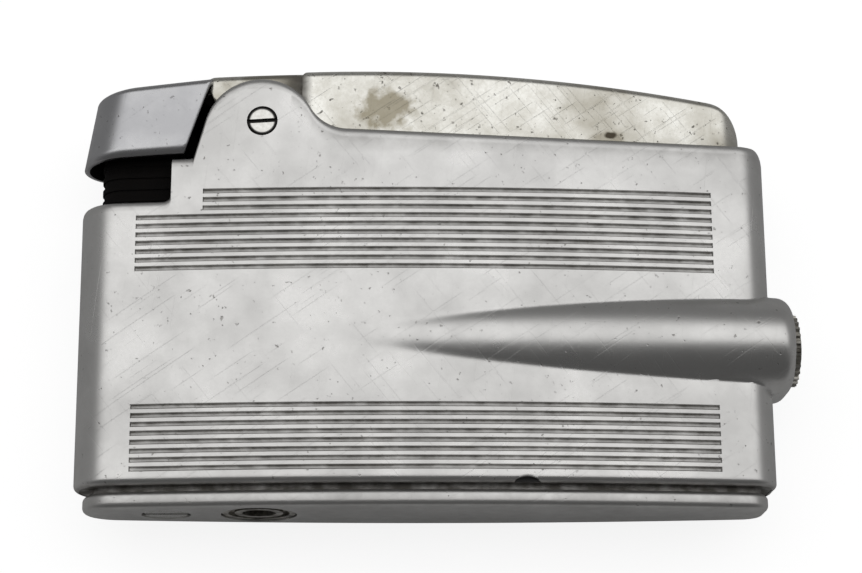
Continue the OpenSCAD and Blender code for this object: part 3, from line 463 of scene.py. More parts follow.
def case_piece():
    """The drawn case: outer skin from foot to rim, over the rim, and down the inner wall."""
    rays, column_x = case_columns()
    zs = case_rows()
    drops = rim_drop * np.array([1.25, 1, .74, .5, .3, .13, .03, 0])[:, None]

    # Outer skin below the rim, clamped under the upper edge
    cut, grime_and_shade = groove_cut(zs, column_x)
    z = np.broadcast_to(zs, cut.shape)
    up = np.clip(1 - (z - case_low) / foot_round, 0, 1)
    foot_inset = foot_round * (1 - np.sqrt(1 - up ** 2))
    x, y = case_half(zs, groove_d * cut + foot_inset, 0, rays)
    z = np.minimum(z, case_top(x) - drops[0])
    # Painted shade: darker round the foot's curl, and in a band under the rounded rim away from
    # the ear
    dirt_and_shade = grime_and_shade + 0.5 * ramp(up, 0.35, 1)
    dirt_and_shade += 0.22 * ramp(z, case_top(x) - 2.4, case_top(x) - 0.6) * (x > ear_x + 3)

    # Screw hole in the ear: squares about the axle become circles, and the hole is sunk and
    # painted black as shade
    dx, dz = x - axle_x, z - axle_z
    square = np.maximum(np.abs(dx), np.abs(dz))
    circle = np.hypot(dx, dz)
    pull = np.where(circle > 1e-6, square / np.maximum(circle, 1e-6), 1)
    pull = 1 + (pull - 1) * (1 - ramp(square, screw_hole_r + 0.02, hole_reach))
    x = np.where(square < hole_reach, axle_x + dx * pull, x)
    z = np.where(square < hole_reach, axle_z + dz * pull, z)
    sunk = (1 - ramp(square, screw_hole_r - 0.07, screw_hole_r - 0.01)) * screw_hole_deep
    y = y + sunk
    dirt_and_shade = np.maximum(np.clip(dirt_and_shade, 0, 0.94), (sunk > 0.01) * 1.0)

    # Pry notch in the front of the foot
    outer = np.stack([x, y, z], -1)
    pry = pry_h * np.sqrt(np.clip(1 - ((x - pry_x) / (pry_half - 0.15)) ** 2, 0, None))
    lifted = outer.copy()
    lifted[..., 2] = np.maximum(z, case_low + pry)

    # Rounded rim, then the inner wall down to the foot
    inset = rim_round * (1 - np.sqrt(1 - np.clip(1 - drops / rim_drop, 0, None) ** 2))
    x, y = case_half(case_top(column_x) - drops,
                     np.broadcast_to(inset, (len(drops), len(column_x))), 0, rays)
    rim = np.stack([x, y, case_top(x) - drops], -1)
    inner_zs = np.array([50, 39.5, 36, 34, 31, 28, 22, 21.2, 20, 18, 16, 14, 12, 11, 10, 6,
                         case_low])[:, None]
    x, y = case_half(inner_zs, np.full((len(inner_zs), len(column_x)), wall), wall, rays)
    inner = np.stack([x, y, np.minimum(inner_zs, case_top(x))], -1)
    # The rim is darkened a little, and the inner wall is painted black as shade
    dirt_and_shade = np.concatenate([np.clip(dirt_and_shade, 0, 1), np.full(rim.shape[:2], 0.1),
                           np.ones(inner.shape[:2])])
    front = np.concatenate([lifted, rim, inner])
    back = np.concatenate([outer, rim, inner])[:, ::-1] * np.array([1, -1, 1])
    piece = sheet_piece("case_skin", np.concatenate([front, back], 1), "case",
                        close_rows=True, close_columns=True, dirt_and_shade=mirrored(dirt_and_shade), sharp=32)
    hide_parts("body_shell")
    return piece


# ---------------------------------------------------------------- base
def plan_loop(t, count_nose=14, count_face=44, count_corner=8):
    """Front half of the case's plan, set in by each t (rows), from the nose to the end."""
    t = np.asarray(t, float)[:, None]
    a = np.linspace(math.pi, nose_a, count_nose)[:-1]
    b = np.linspace(nose_a, corner_a, count_face)[:-1]
    c = np.linspace(corner_a, 0, count_corner)
    x = np.concatenate([nose_cx + (nose_r - t) * np.cos(a), crown_x + (face_r - t) * np.cos(b),
                        corner_cx + (corner_r - t) * np.cos(c), corner_cx + corner_r - t], 1)
    y = np.concatenate([(nose_r - t) * np.sin(a), (face_r - t) * np.sin(b) - face_off,
                        corner_cy + (corner_r - t) * np.sin(c), 0 * t], 1)
    return x, -y


def base_piece():
    """The base plate: flat underside, rounded bead, neck in painted shade and the plug in the
    case.

    A profile of inset and height is carried round the plan; both ends close on the middle line.
    The two wells for the filler and the flint screw are cut out after that.
    """
    a = np.linspace(0, math.pi / 2, 6)
    profile = np.concatenate([
        [[base_inset + bead_r, foot_z]],
        np.stack([base_inset + bead_r * (1 - np.sin(a)), foot_z + bead_r * (1 - np.cos(a))], 1),
        np.stack([base_inset + bead_r * (1 - np.cos(a)),
                  foot_z + bead_h - bead_r * (1 - np.sin(a))], 1),
        [[neck_inset, bead_h], [neck_inset, plug_foot], [plug_inset, plug_foot],
         [plug_inset, plug_z]]])
    x, y = plan_loop(profile[:, 0])
    body = np.stack([x, y, np.broadcast_to(profile[:, 1:], x.shape)], -1)
    flat = np.array([1, 0, 1])
    half = np.concatenate([body[:1] * flat, body, body[-1:] * flat])
    # Painted shade fills the neck and the plug's rows and fades over the bead's upper edge
    dirt_and_shade = np.full(half.shape[:2], 0.16)
    dirt_and_shade[-7:] = 0.9
    dirt_and_shade[-8] = 0.35
    piece = sheet_piece("base_plate", mirrored(half), "case",
                        close_columns=True, dirt_and_shade=mirrored(dirt_and_shade))
    for i, (well_x, well_r) in enumerate(((filler_x, filler_well_r), (flint_x, flint_well_r))):
        disc = np.array([[0, well_low], [well_r, well_low], [well_r, well_high], [0, well_high]])
        cut_out(piece, turned_piece(f"well_{i}", disc, well_x, "case", 72,
                                    turn=0.02))
    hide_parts("base_cap")
    return piece


def flint_head_piece():
    """The flint screw's slotted head, level with the underside of the base."""
    head_r, edge, head_top = 2.2, 0.15, 1.2
    slot_long, slot_half, slot_deep = 3, 0.25, 0.45
    head_low = foot_z + 0.08
    profile = np.array([[0, head_low], [head_r - edge, head_low], [head_r, head_low + edge],
                        [head_r, head_top], [0, head_top]])
    head = turned_piece("flint_screw_head", profile, flint_x, "case", 56)
    ring = np.array([[flint_x - slot_long, -slot_half], [flint_x + slot_long, -slot_half],
                     [flint_x + slot_long, slot_half], [flint_x - slot_long, slot_half]])
    cut_out(head, plate_piece("slot", ring, -1, head_low + slot_deep, "case",
                              lying=True))
    return head


# ---------------------------------------------------------------- lever and cap
def lever_top(x):
    """Height of the lever's top at x: a shallow arch with a round drop at the right end."""
    drop = np.clip(x - lever_x + lever_drop_r, 0, lever_drop_r)
    return (overall_h - (x - lever_peak_x) ** 2 / (2 * lever_arch_r)
            - (lever_drop_r - half_chord(lever_drop_r, drop)))


def lever_outline():
    """Half the lever's outline, from the strip's end to the skirt's end, and what is strip."""
    def side(x):
        return np.sqrt((face_r - skirt_inset) ** 2 - (x - crown_x) ** 2) - face_off

    strip = np.linspace(strip_straight_x, skirt_x, 14)
    gamma = np.linspace(0, math.pi / 2, 12)
    drop_x, corner_x = lever_x - lever_drop_r, lever_x - lever_corner_r
    skirt = np.concatenate([np.linspace(skirt_x, drop_x, 40)[:-1],
                            np.linspace(drop_x, corner_x, 3)])
    corner = np.stack([lever_x - lever_corner_r * (1 - np.sin(gamma)),
                       side(corner_x) - lever_corner_r * (1 - np.cos(gamma))], 1)[1:]
    strip_end = np.stack([strip_x + strip_corner_r * (1 - np.cos(gamma[::2])),
                          strip_half - strip_corner_r * (1 - np.sin(gamma[::2]))], 1)
    outline = np.concatenate([
        [[strip_x, 0], [strip_x, strip_end_half]], strip_end,
        np.stack([strip, np.full(len(strip), strip_half)], 1),
        np.stack([skirt, side(skirt)], 1), corner,
        [[lever_x, corner[-1, 1] * share] for share in (0.66, 0.33, 0)]])
    return outline, np.arange(len(outline)) < 2 + len(strip_end) + len(strip)


def lever_piece():
    """The thumb lever's pressed skin: a skirt along the case with a narrow strip on the left.

    The rows go up the side, round the upper edge and in to the middle line. Insets follow the
    outline's mitred normals.
    """
    outline, on_strip = lever_outline()
    step = np.diff(outline, axis=0)
    step /= np.linalg.norm(step, axis=1, keepdims=True)
    normal = np.stack([-step[:, 1], step[:, 0]], 1)
    before, after = np.vstack([normal[:1], normal]), np.vstack([normal, normal[-1:]])
    mitre = (before + after) / (1 + (before * after).sum(1, keepdims=True)).clip(0.5)
    mitre[0], mitre[-1] = [-1, 0], [1, 0]
    depth = strip_tip_depth + strip_more_depth * ramp(outline[:, 0], strip_x + 0.5, strip_x + 1.1)
    foot = np.where(on_strip, lever_top(outline[:, 0]) - depth, skirt_low)

    # The side keeps a least height, and the edge above it a little more
    rows = []
    side_top = np.maximum(lever_top(outline[:, 0]) - lever_edge_r, foot + 0.1)
    for share in (0, .3, .6, .85):
        rows.append(np.column_stack([outline, foot + (side_top - foot) * share]))
    for b in np.linspace(0, math.pi / 2, 9):
        place = outline - mitre * (lever_edge_r * (1 - math.cos(b)))
        place[0, 1] = place[-1, 1] = 0
        top = np.maximum(lever_top(place[:, 0]) - lever_edge_r * (1 - math.sin(b)), foot + 0.12)
        rows.append(np.column_stack([place, top]))
    # Inner rows draw in lengthwise too, so that no two of them meet at the ends
    upper_edge, draw_in = rows[-1], 0.02
    for share in (0.85, 0.6, 0.3, 0):
        place = upper_edge.copy()
        place[:, 0] = lever_peak_x + (place[:, 0] - lever_peak_x) * (1 - draw_in * (1 - share))
        place[:, 1] *= share
        place[:, 2] = lever_top(place[:, 0])
        rows.append(place)
    half = np.array(rows) * np.array([1, -1, 1])
    # Painted shade along the skirt's foot, and under the strip where it meets the skirt
    x, z = half[..., 0], half[..., 2]
    dirt_and_shade = 0.25 * (1 - ramp(z - skirt_low, 1.2, 2.2)) * (x > skirt_x + 0.2)
    dirt_and_shade += 0.9 * ramp(x, skirt_x - 3.6, skirt_x - 0.4) * (x < skirt_x + 0.15)
    piece = sheet_piece("thumb_lever_skin", mirrored(half), "lever",
                        close_columns=True, dirt_and_shade=mirrored(np.clip(dirt_and_shade, 0, 1)), sharp=40)
    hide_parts("thumb_lever")
    return wall_inwards(piece, lever_wall)


def lever_cheek_pieces():
    """The lever's two side cheeks: plates with a round eye below the axle."""
    a = np.radians(np.arange(200, 341, 20))
    eye = np.stack([axle_x + eye_r * np.cos(a), axle_z + eye_r * np.sin(a)], 1)
    top = lever_top(np.array([axle_x]))[0] - cheek_below_top
    outline = np.concatenate([[[axle_x - 3.3, top], [axle_x - 3.0, axle_z + 1.0]], eye,
                              [[skirt_x + 1, axle_z - 1.0], [skirt_x + 1, top]]])
    return [plate_piece(f"lever_cheek_{name}", outline, near, far, "lever")
            for name, near, far in (("front", -cheek_far, -cheek_near),
                                    ("back", cheek_near, cheek_far))]


def cut_x(z):
    """The cap's slanted right edge at height z."""
    share = (z - cap_cut_low[1]) / (cap_cut_high[1] - cap_cut_low[1])
    return cap_cut_low[0] + share * (cap_cut_high[0] - cap_cut_low[0])


def cap_piece():
    """The snuffer cap: the case's plan leaning back, a rounded sloping top and a slanted edge."""
    theta = np.linspace(math.pi, nose_a, 18)[:-1]
    along = np.linspace(0, 1, 22)
    slope = (cap_right_z - cap_top_z) / (cut_x(cap_right_z) - cap_slope_x)

    def top(x):
        return cap_top_z + (x - cap_slope_x) * slope

    def low(x):
        return cap_foot_z + (x - nose_x) * cap_tilt

    def row(rise, inset, back, z_of):
        """Points of one row: a share of the wall's height, an inset and a shift to the right."""
        dx = cap_lean * rise + back
        nx, ny = nose_cx + dx + (nose_r - inset) * np.cos(theta), (nose_r - inset) * np.sin(theta)
        x0 = nose_cx + dx + (nose_r - inset) * math.cos(nose_a)
        end = cut_x(z_of(cut_x(cap_right_z - 4 + 4 * rise)))
        fx = x0 + (end - x0) * along
        fy = np.sqrt((face_r - inset) ** 2 - (fx - crown_x - dx) ** 2) - face_off
        x, y = np.append(nx, fx), np.append(ny, fy)
        return np.column_stack([x, -y, z_of(x)])

    rows = [row(share, 0, 0, lambda x: low(x) + (top(x) - cap_edge_r - low(x)) * share)
            for share in np.linspace(0, 1, 8)]
    for a in np.linspace(0, math.pi / 2, 10)[1:]:
        rows.append(row(1, cap_edge_r * (1 - math.cos(a)),
                        cap_nose_back * (1 - math.cos(a)) ** 1.3,
                        lambda x: top(x) - cap_edge_r * (1 - math.sin(a))))
    upper_edge = rows[-1]
    for share in (0.85, 0.6, 0.3, 0):
        rows.append(upper_edge * np.array([1, share, 1]))
    half = np.array(rows)
    dirt_and_shade = np.zeros(half.shape[:2])
    # Painted shade along the cap's lower edge, where it meets the case
    dirt_and_shade[0] = 0.15
    piece = sheet_piece("snuffer_cap_skin", mirrored(half, open_strip=True), "cap",
                        dirt_and_shade=mirrored(dirt_and_shade, open_strip=True), sharp=50)
    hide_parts("snuffer_cap")
    return wall_inwards(piece, wall)


# ---------------------------------------------------------------- springs
def coil_piece(name, node, wire_r, turns, body, axis="Z"):
    """A coil spring: a round wire carried along a helix that fills its node's box.

    With the helix's line m + r * out and its direction d, the wire's skin is
    line + wire_r * (cos(phi) * out + sin(phi) * d x out).
    """
    steps_per_turn, wire_sides = 22, 8
    low, high = box_mm(node)
    k = "XYZ".index(axis)
    start = (low + high) / 2
    end = start.copy()
    start[k], end[k] = low[k] + wire_r, high[k] - wire_r
    coil_r = min((high - low)[i] for i in range(3) if i != k) / 2 - wire_r
    line = end - start
    along = line / np.linalg.norm(line)
    across = np.cross(along, [0.0, 1.0, 0.0] if abs(along[1]) < 0.9 else [1.0, 0.0, 0.0])
    across /= np.linalg.norm(across)
    third = np.cross(along, across)
    s = np.linspace(0, 1, int(turns * steps_per_turn) + 1)[:, None]
    lead = s * 2 * math.pi * turns
    out = np.cos(lead) * across + np.sin(lead) * third
    middle_line = start + line * s + coil_r * out
    run = np.gradient(middle_line, axis=0)
    run /= np.linalg.norm(run, axis=1, keepdims=True)
    up = np.cross(run, out)
    phi = np.linspace(0, 2 * math.pi, wire_sides + 1)[:-1]
    skin = (middle_line[:, None] + wire_r * (np.cos(phi)[:, None] * out[:, None]
                                             + np.sin(phi)[:, None] * up[:, None]))
    ends = [np.broadcast_to(middle_line[i], (1, len(phi), 3)) for i in (0, -1)]
    piece = sheet_piece(name, np.concatenate([ends[0], skin, ends[1]]), body,
                        close_columns=True)
    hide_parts(node)
    return piece


def pressed_coil(name, node, wire_r, turns):
    """An upright coil spring with a mesh of its own."""
    piece = coil_piece(name, node, wire_r, turns, "case")
    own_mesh(piece)
    return piece


# ---------------------------------------------------------------- shader nodes
def linear(code):
    """An sRGB hex colour as linear RGBA."""
    parts = [int(code[i:i + 2], 16) / 255 for i in (0, 2, 4)]
    return [p / 12.92 if p <= 0.04045 else ((p + 0.055) / 1.055) ** 2.4 for p in parts] + [1.0]


def add(tree, kind, sockets=None, **settings):
    """Adds one node with its settings; a socket takes a value, a socket or a node's output."""
    node = tree.nodes.new("ShaderNode" + kind)
    for name, value in settings.items():
        setattr(node, name, value)
    for key, value in (sockets or {}).items():
        if isinstance(value, bpy.types.Node):
            value = value.outputs[0]
        if isinstance(value, bpy.types.NodeSocket):
            tree.links.new(value, node.inputs[key])
        else:
            node.inputs[key].default_value = value
    return node


def per(size_mm):
    """Texture scale for a feature of this size."""
    return 1 / (size_mm * MM)


def calc(tree, operation, *values, **settings):
    """One step of arithmetic."""
    return add(tree, "Math", dict(enumerate(values)), operation=operation, **settings)


def vector(tree, operation, *values):
    """One step of arithmetic on vectors."""
    return add(tree, "VectorMath", dict(enumerate(values)), operation=operation)


def ranged(tree, value, low, high, to_low=0.0, to_high=1.0, **settings):
    """Maps low to high of a value onto to_low to to_high, held at both ends."""
    return add(tree, "MapRange", {"Value": value, "From Min": low, "From Max": high,
                                  "To Min": to_low, "To Max": to_high}, **settings)


def noise(tree, place, size_mm, detail, roughness=0.5):
    """Cloudy noise with features of this size."""
    return add(tree, "TexNoise", {"Vector": place, "Scale": per(size_mm), "Detail": detail,
                                  "Roughness": roughness})


def mix_colour(tree, factor, a, b):
    """One colour over another."""
    return add(tree, "Mix", {0: factor, 6: a, 7: b}, data_type="RGBA").outputs[2]


def new_finish(name):
    """An empty material with its tree and the object's own coordinates."""
    material = bpy.data.materials.new(name)
    material.use_nodes = True
    tree = material.node_tree
    tree.nodes.clear()
    return material, tree, add(tree, "TexCoord").outputs["Object"]


def close_finish(material, tree, colour, metal, gloss, relief, strength, relief_mm):
    """Puts the relief, the shader and the output at the end of a finish."""
    bump = add(tree, "Bump", {"Height": relief, "Strength": strength,
                              "Distance": relief_mm * MM})
    shader = add(tree, "BsdfPrincipled", {"Base Color": colour, "Metallic": metal,
                                          "Roughness": gloss, "Normal": bump})
    add(tree, "OutputMaterial", {"Surface": shader})
    return material


# ---------------------------------------------------------------- finishes
def plated_finish(name, bright, dull, rough, wear=0.5, speckle=0.5, stains=()):
    """Worn satin chrome over brass, buffed by years in a pocket.

    It gives the eye an even silver grey with faint clouds, fine pits, thin scratches that
    catch the light, brown-grey grime with painted shade where a thumb never reaches, and
    painted black shade on walls that are hidden.
    """
    material, tree, place = new_finish(name)
    clouds = noise(tree, place, 7, 5.0, 0.6)
    grain = noise(tree, place, 0.30, 2.0)
    spots = noise(tree, place, 0.55, 2.5, 0.65)
    pits = ranged(tree, spots, 0.70 - 0.06 * speckle, 0.78 - 0.06 * speckle)
    scratch = None
    for turn, low in ((0.6, 0.690), (-0.9, 0.700), (1.45, 0.705)):
        turned = add(tree, "Mapping", {"Vector": place, "Rotation": (0, turn, 0.15)})
        long_way = add(tree, "Mapping", {"Vector": turned,
                                         "Scale": (per(14), per(3), per(0.16))})
        lines = add(tree, "TexNoise", {"Vector": long_way, "Scale": 1.0, "Detail": 1.0})
        cut = ranged(tree, lines, low - 0.01 * wear, low + 0.035)
        scratch = cut if scratch is None else calc(tree, "MAXIMUM", scratch, cut)
    # The point attribute holds grime and painted shade; near 1 it is painted black shade where the
    # skin is hidden
    grime_and_shade = add(tree, "Attribute", attribute_name="dirt_and_shade").outputs["Fac"]
    painted_black = ranged(tree, grime_and_shade, 0.95, 0.99)
    uneven = ranged(tree, noise(tree, place, 1.3, 4.0), 0.3, 0.7, 0.55, 1.25)
    grime_and_shade = calc(tree, "MULTIPLY", grime_and_shade, uneven, use_clamp=True)

    # Colour: clouds and grain in two tones, pits worn to the metal below, stains, grime with
    # painted shade, and painted black shade where the skin is hidden
    colour = mix_colour(tree, ranged(tree, clouds, 0.35, 0.65), linear(dull), linear(bright))
    colour = mix_colour(tree, ranged(tree, grain, 0.35, 0.65, 0.0, 0.22), colour, linear(dull))
    worn = calc(tree, "MULTIPLY", pits, 0.55 * speckle + 0.25)
    colour = mix_colour(tree, worn, colour, linear("4a443c"))
    for middle_mm, radii_mm, tint, strength in stains:
        shifted = vector(tree, "SUBTRACT", place, [v * MM for v in middle_mm])
        shrunk = vector(tree, "MULTIPLY", shifted, [per(v) for v in radii_mm])
        far = vector(tree, "LENGTH", shrunk).outputs["Value"]
        ragged = ranged(tree, uneven, 0.55, 1.25, -0.35, 0.35)
        patch = ranged(tree, calc(tree, "ADD", far, ragged), 1.15, 0.7, 0.0, strength)
        colour = mix_colour(tree, patch, colour, linear(tint))
    colour = mix_colour(tree, calc(tree, "MULTIPLY", grime_and_shade, 0.85), colour, linear("463f34"))
    colour = mix_colour(tree, painted_black, colour, linear("0d0b0a"))

    # Grime and painted shade are duller than the plating and no metal, and the painted black shade
    # is no metal at all
    gloss = ranged(tree, clouds, 0.35, 0.65, rough + 0.05, rough - 0.04)
    gloss = calc(tree, "MULTIPLY_ADD", grime_and_shade, 0.35, gloss)
    metal = calc(tree, "MULTIPLY_ADD", grime_and_shade, -0.6, 1.0)
    metal = calc(tree, "SUBTRACT", metal, painted_black, use_clamp=True)
    relief = calc(tree, "MULTIPLY", pits, -0.9)
    relief = calc(tree, "MULTIPLY_ADD", scratch, -0.5 * wear, relief)
    relief = calc(tree, "MULTIPLY_ADD", grain, 0.10, relief)
    return close_finish(material, tree, colour, metal, gloss, relief, 0.5, 0.04)


def works_finish(name, light, dark, rough, size_mm, stain="3b332b", stain_share=0.35,
                 metallic=1.0, bump_mm=0.02, stretch=(1, 1, 1), soot=0.97):
    """Bare or oiled works inside the lighter.

    Two tones of the metal change over size_mm, dull stains gather in patches, and fine tool
    marks or a rough skin show as relief. Everything near the flame is black with soot.
    """
    material, tree, place = new_finish(name)
    drawn = add(tree, "Mapping", {"Vector": place, "Scale": stretch})
    tone = ranged(tree, noise(tree, drawn, size_mm, 4.0, 0.6), 0.3, 0.7)
    patches = ranged(tree, noise(tree, place, 2.6, 4.0), 0.48, 0.70, 0.0, stain_share)
    colour = mix_colour(tree, tone, linear(dark), linear(light))
    colour = mix_colour(tree, patches, colour, linear(stain))
    parts = add(tree, "SeparateXYZ", {0: place}).outputs
    near_flame = ranged(tree, parts["X"], soot_x[0] * MM, soot_x[1] * MM, 0.0, soot)
    above_tank = ranged(tree, parts["Z"], soot_z[0] * MM, soot_z[1] * MM)
    sooted = calc(tree, "MULTIPLY", near_flame, above_tank)
    colour = mix_colour(tree, sooted, colour, linear("0c0a09"))
    dull = calc(tree, "MAXIMUM", patches, sooted)
    gloss = calc(tree, "MULTIPLY_ADD", dull, 0.5, rough)
    return close_finish(material, tree, colour, metallic, gloss, tone, 0.6, bump_mm)


def head_finish(name, light, dark, depth_mm):
    """The axle's turned heads: rubbed bright on the face, with painted black shade in the slot and
    round the rim.

    The face's depth from the middle plane and the distance from the axle tell the places apart.
    """
    slot_starts, slot_black = 0.06, 0.14
    rim_starts, rim_black = 1.12, 1.26
    material, tree, place = new_finish(name)
    side = calc(tree, "ABSOLUTE", add(tree, "SeparateXYZ", {0: place}).outputs["Y"])
    deep = ranged(tree, side, (depth_mm - slot_starts) * MM, (depth_mm - slot_black) * MM)
    flat = vector(tree, "SUBTRACT", place, (axle_x * MM, 0, axle_z * MM))
    flat = vector(tree, "MULTIPLY", flat, (1, 0, 1))
    out = vector(tree, "LENGTH", flat).outputs["Value"]
    rim = ranged(tree, out, rim_starts * MM, rim_black * MM)
    painted_shade = calc(tree, "MAXIMUM", deep, rim)
    tone = ranged(tree, noise(tree, place, 0.4, 4.0), 0.3, 0.7)
    colour = mix_colour(tree, tone, linear(dark), linear(light))
    colour = mix_colour(tree, painted_shade, colour, linear("15120f"))
    gloss = calc(tree, "MULTIPLY_ADD", painted_shade, 0.4, 0.24)
    metal = calc(tree, "MULTIPLY_ADD", painted_shade, -0.9, 1.0)
    return close_finish(material, tree, colour, metal, gloss, tone, 0.4, 0.02)


finishes = {
    # Satin chrome on the drawn case: even silver grey
    "case": plated_finish("satin_chrome_case", "d9d8d6", "cac9c7", 0.30),
    # The cap's chrome is smoother and cooler, so its nose shows clear soft bands
    "cap": plated_finish("satin_chrome_cap", "c6c6c7", "b6b6b8", 0.26, wear=0.3),
    # The lever's plating is worn through in flecks to a warm grey, with old stains.
    # A stain has its middle and its radii in mm, its colour and its strength.
    "lever": plated_finish(
        "worn_chrome_lever", "ecebe5", "b8b4a8", 0.27, wear=0.8, speckle=1.0,
        stains=[((-5.3, -5.3, 39.0), (2.6, 3.0, 2.2), "8d8570", 0.85),
                ((16.6, -4.6, 36.2), (1.9, 3.0, 0.8), "8f8877", 0.6),
                ((16.6, -4.6, 36.6), (0.6, 3.0, 0.35), "3d372c", 0.95),
                ((-17.0, -4.6, 42.0), (3.5, 4.0, 1.4), "8a8474", 0.6)]),
    # The axle's slotted heads rubbed bright, with painted black shade in the slots
    "head": head_finish("axle_heads", "e6e5e1", "cfcdc8", -screw_low[1]),
    # Inner walls near the flame: matt black soot with a brown cast
    "soot": works_finish("sooted_inside", "1d1915", "0b0a09", 0.7, 0.9, "050505", 0.5,
                         metallic=0.0, bump_mm=0.03),
    # Turned steel heads rubbed bright
    "screw": works_finish("bright_turned_steel", "e2e1dd", "c4c3bf", 0.22, 0.4, "6d675c", 0.3),
    # Nickelled knob with grime between its teeth
    "knob": works_finish("nickelled_knob", "d2d0ca", "aaa79e", 0.3, 0.8, "4a443a", 0.75),
    # Drawn brass, dull with age
    "brass": works_finish("aged_brass", "c79f55", "9c7836", 0.34, 1.6, "5c4523", 0.5),
    # Brass guard baked by the flame: red-brown oxide under soot
    "sooty": works_finish("sooty_brass_guard", "4a2c1e", "150d0a", 0.62, 0.7, "050404", 0.9,
                          metallic=0.4, bump_mm=0.05),
    # Stamped steel plate with an oily film
    "steel": works_finish("stamped_steel", "8f8f8c", "6f6f6c", 0.38, 1.2, "463d31", 0.45),
    # Hardened wheels, file-cut and blackened by flint dust
    "dark": works_finish("file_cut_steel", "5a5855", "2c2a29", 0.42, 0.25, "1a1613", 0.6,
                         bump_mm=0.04),
    # Spring wire, drawn bright along its length
    "wire": works_finish("spring_wire", "a5a5a6", "7b7b7c", 0.3, 0.5, "4b4136", 0.3),
    # Black rubber seals, matt with a fine bloom
    "rubber": works_finish("seal_rubber", "2a2a29", "161616", 0.75, 0.5, "3a3936", 0.4,
                           metallic=0.0, bump_mm=0.02),
    # Pressed felt: pale fibres, soft and matt
    "felt": works_finish("pressed_felt", "c9bfa6", "a2967b", 0.95, 0.25, "7d725b", 0.4,
                         metallic=0.0, bump_mm=0.08, stretch=(1, 3, 1)),
    # Flint alloy: dark grey, crumbly and matt
    "flint": works_finish("flint_alloy", "5f5e5f", "383738", 0.6, 0.2, "2a2725", 0.5,
                          metallic=0.6, bump_mm=0.05),
    # Filler valve face: pale cast metal, dark in its ring
    "filler": works_finish("filler_valve_metal", "dcd9d0", "57534c", 0.3, 1.1, "2b2722", 0.7),
}
slot_finish = {"case_metal": "case", "brass": "brass", "sooty_brass": "sooty",
               "works_steel": "steel", "bright_steel": "screw", "dark_steel": "dark",
               "spring_steel": "wire", "seal_rubber": "rubber", "felt_pad": "felt",
               "flint_stone": "flint"}
node_finish = {"adjuster_knob": "knob", "filler_body": "filler", "axle_screw": "head",
               "axle_nut": "head"}


def dress(piece, *names):
    """Gives a piece its finishes in place of what it has; a second one is for its inner wall."""
    piece.data.materials.clear()
    for name in names:
        piece.data.materials.append(finishes[name])


node_slot = {entry["node"]: entry["material_slot"] for entry in frame["record"]["subparts"]}
for name, cad_node in frame["nodes"].items():
    finish = node_finish.get(name) or slot_finish[node_slot[name]]
    for held in cad_node.material_slots:
        held.material = finishes[finish]
    if not cad_node.material_slots:
        cad_node.data.materials.append(finishes[finish])

# ---------------------------------------------------------------- pieces
dress(case_piece(), "case")
dress(base_piece(), "case")
dress(flint_head_piece(), "screw")
dress(lever_piece(), "lever", "soot")
for cheek in lever_cheek_pieces():
    dress(cheek, "steel")
dress(cap_piece(), "cap", "soot")

dress(pressed_coil("lever_coil", "lever_spring", 0.28, 7.5),
      "wire")
dress(pressed_coil("burner_coil", "burner_spring", 0.13, 4.5), "wire")
dress(pressed_coil("filler_coil", "filler_spring", 0.16, 5.5), "wire")
dress(coil_piece("snuffer_coil", "snuffer_spring", 0.14, 9.0, "case", axis="Y"), "wire")

# ---------------------------------------------------------------- camera
# A pinhole camera fitted to the outline of the lighter in the photo
camera_mm = Vector((-9.259, -213.965, -38.440))
yaw, pitch, roll = (math.radians(v) for v in (2.226, 15.901, -0.4223))
ahead = Vector((math.sin(yaw) * math.cos(pitch), math.cos(yaw) * math.cos(pitch),
                math.sin(pitch)))
level = Vector((math.cos(yaw), -math.sin(yaw), 0))
upward = level.cross(ahead)
right = level * math.cos(roll) + upward * math.sin(roll)
top = upward * math.cos(roll) - level * math.sin(roll)
camera_data = bpy.data.cameras.new("camera")
camera_data.sensor_width = 36.0
camera_data.lens = 95.10
camera_data.clip_start = 0.001
camera_data.clip_end = 5.0
camera = bpy.data.objects.new("camera", camera_data)
pose = Matrix((right, top, -ahead)).transposed().to_4x4()
pose.translation = camera_mm * MM
camera.matrix_world = pose
bpy.context.scene.collection.objects.link(camera)
bpy.context.scene.camera = camera


# ---------------------------------------------------------------- sheet, light and world
def paper_finish():
    """White paper: it keeps the shadow, and shows nothing when seen from behind.

    It glows to the camera and a little in reflections. Its matt grey is darker to both of
    them than to the light that it throws back.
    """
    camera_glow, mirror_glow = 0.86, 0.09
    paper_grey, camera_darker, mirror_darker = 0.9, 0.55, 0.5
    paper, tree, _ = new_finish("white_paper")
    ray = add(tree, "LightPath").outputs
    seen = calc(tree, "MAXIMUM", ray["Is Camera Ray"], ray["Is Transmission Ray"])
    grey = calc(tree, "MULTIPLY_ADD", seen, -camera_darker, paper_grey)
    grey = calc(tree, "MULTIPLY_ADD", ray["Is Glossy Ray"], -mirror_darker, grey)
    grey = add(tree, "CombineColor", {0: grey, 1: grey, 2: grey})
    matt = add(tree, "BsdfDiffuse", {"Color": grey})
    glow = calc(tree, "MULTIPLY", ray["Is Glossy Ray"], mirror_glow)
    glow = calc(tree, "MULTIPLY_ADD", seen, camera_glow, glow)
    glow = add(tree, "Emission", {"Color": linear("ffffff"), "Strength": glow})
    both = add(tree, "AddShader", {0: matt, 1: glow})
    clear = add(tree, "BsdfTransparent")
    behind = add(tree, "NewGeometry").outputs["Backfacing"]
    add(tree, "OutputMaterial", {"Surface": add(tree, "MixShader",
                                                {0: behind, 1: both, 2: clear})})
    return paper


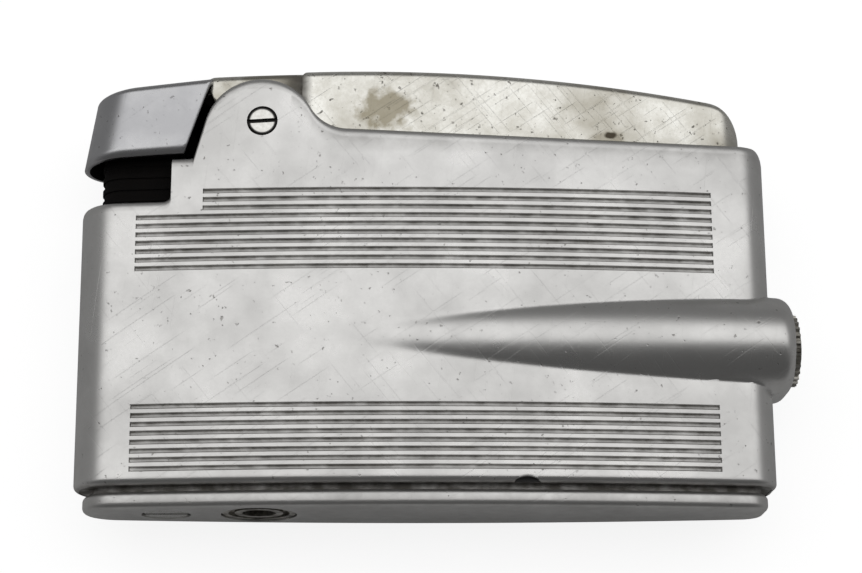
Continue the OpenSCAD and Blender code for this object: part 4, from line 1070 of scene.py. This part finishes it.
sheet_y = shell_high[1] + 0.7
sheet_half = 900.0
sheet = bpy.data.meshes.new("white_sheet")
sheet.from_pydata([(x * MM, sheet_y * MM, z * MM) for x, z in
                   [(-sheet_half, -sheet_half), (sheet_half, -sheet_half),
                    (sheet_half, sheet_half), (-sheet_half, sheet_half)]], [], [(0, 1, 2, 3)])
floor = bpy.data.objects.new("white_sheet", sheet)
bpy.context.scene.collection.objects.link(floor)
floor.data.materials.append(paper_finish())


def soft_rise(tree, value, low, high, bottom=0.0, top=1.0):
    """A soft rise from bottom below low to top above high; low over high makes it a fall."""
    return ranged(tree, value, low, high, bottom, top, interpolation_type="SMOOTHSTEP")


def soft_panel(tree, direction, toward, inner, outer, strength):
    """A round patch of light about a direction: full inside one angle, none outside another."""
    near = vector(tree, "DOT_PRODUCT", direction, Vector(toward).normalized())
    return soft_rise(tree, near.outputs["Value"], math.cos(math.radians(outer)),
                     math.cos(math.radians(inner)), 0.0, strength)


def studio_world():
    """A grey room, a wide soft window in front from eye level up, and three weak panels.

    The camera itself sees plain white.
    """
    world = bpy.data.worlds.new("studio")
    world.use_nodes = True
    tree = world.node_tree
    tree.nodes.clear()
    direction = add(tree, "TexCoord").outputs["Generated"]
    parts = add(tree, "SeparateXYZ", {0: direction}).outputs
    height, ahead_of = parts["Z"], calc(tree, "MULTIPLY", parts["Y"], -1.0)
    window = soft_rise(tree, height, -0.10, 0.08)
    window = calc(tree, "MULTIPLY", window, soft_rise(tree, height, 0.80, 0.52))
    window = calc(tree, "MULTIPLY", window, soft_rise(tree, ahead_of, 0.42, 0.78, 0.0, 0.95))
    light = calc(tree, "ADD", soft_rise(tree, height, -0.5, 0.3, 0.10, 0.19), window)
    for panel in (((0.15, 1.0, 0.5), 35, 80, 0.15), ((0.9, -0.1, 0.1), 10, 50, 0.1),
                  ((-0.9, -0.2, 0.1), 10, 45, 0.08)):
        light = calc(tree, "ADD", light, soft_panel(tree, direction, *panel))
    studio = add(tree, "Background", {"Color": linear("ffffff"), "Strength": light})
    plain = add(tree, "Background", {"Color": linear("ffffff"), "Strength": 1.0})
    camera_ray = add(tree, "LightPath").outputs["Is Camera Ray"]
    shown = add(tree, "MixShader", {0: camera_ray, 1: studio, 2: plain})
    add(tree, "OutputWorld", {"Surface": shown})
    return world


bpy.context.scene.world = studio_world()
bpy.context.scene.view_settings.view_transform = "Standard"

bpy.context.view_layer.update()
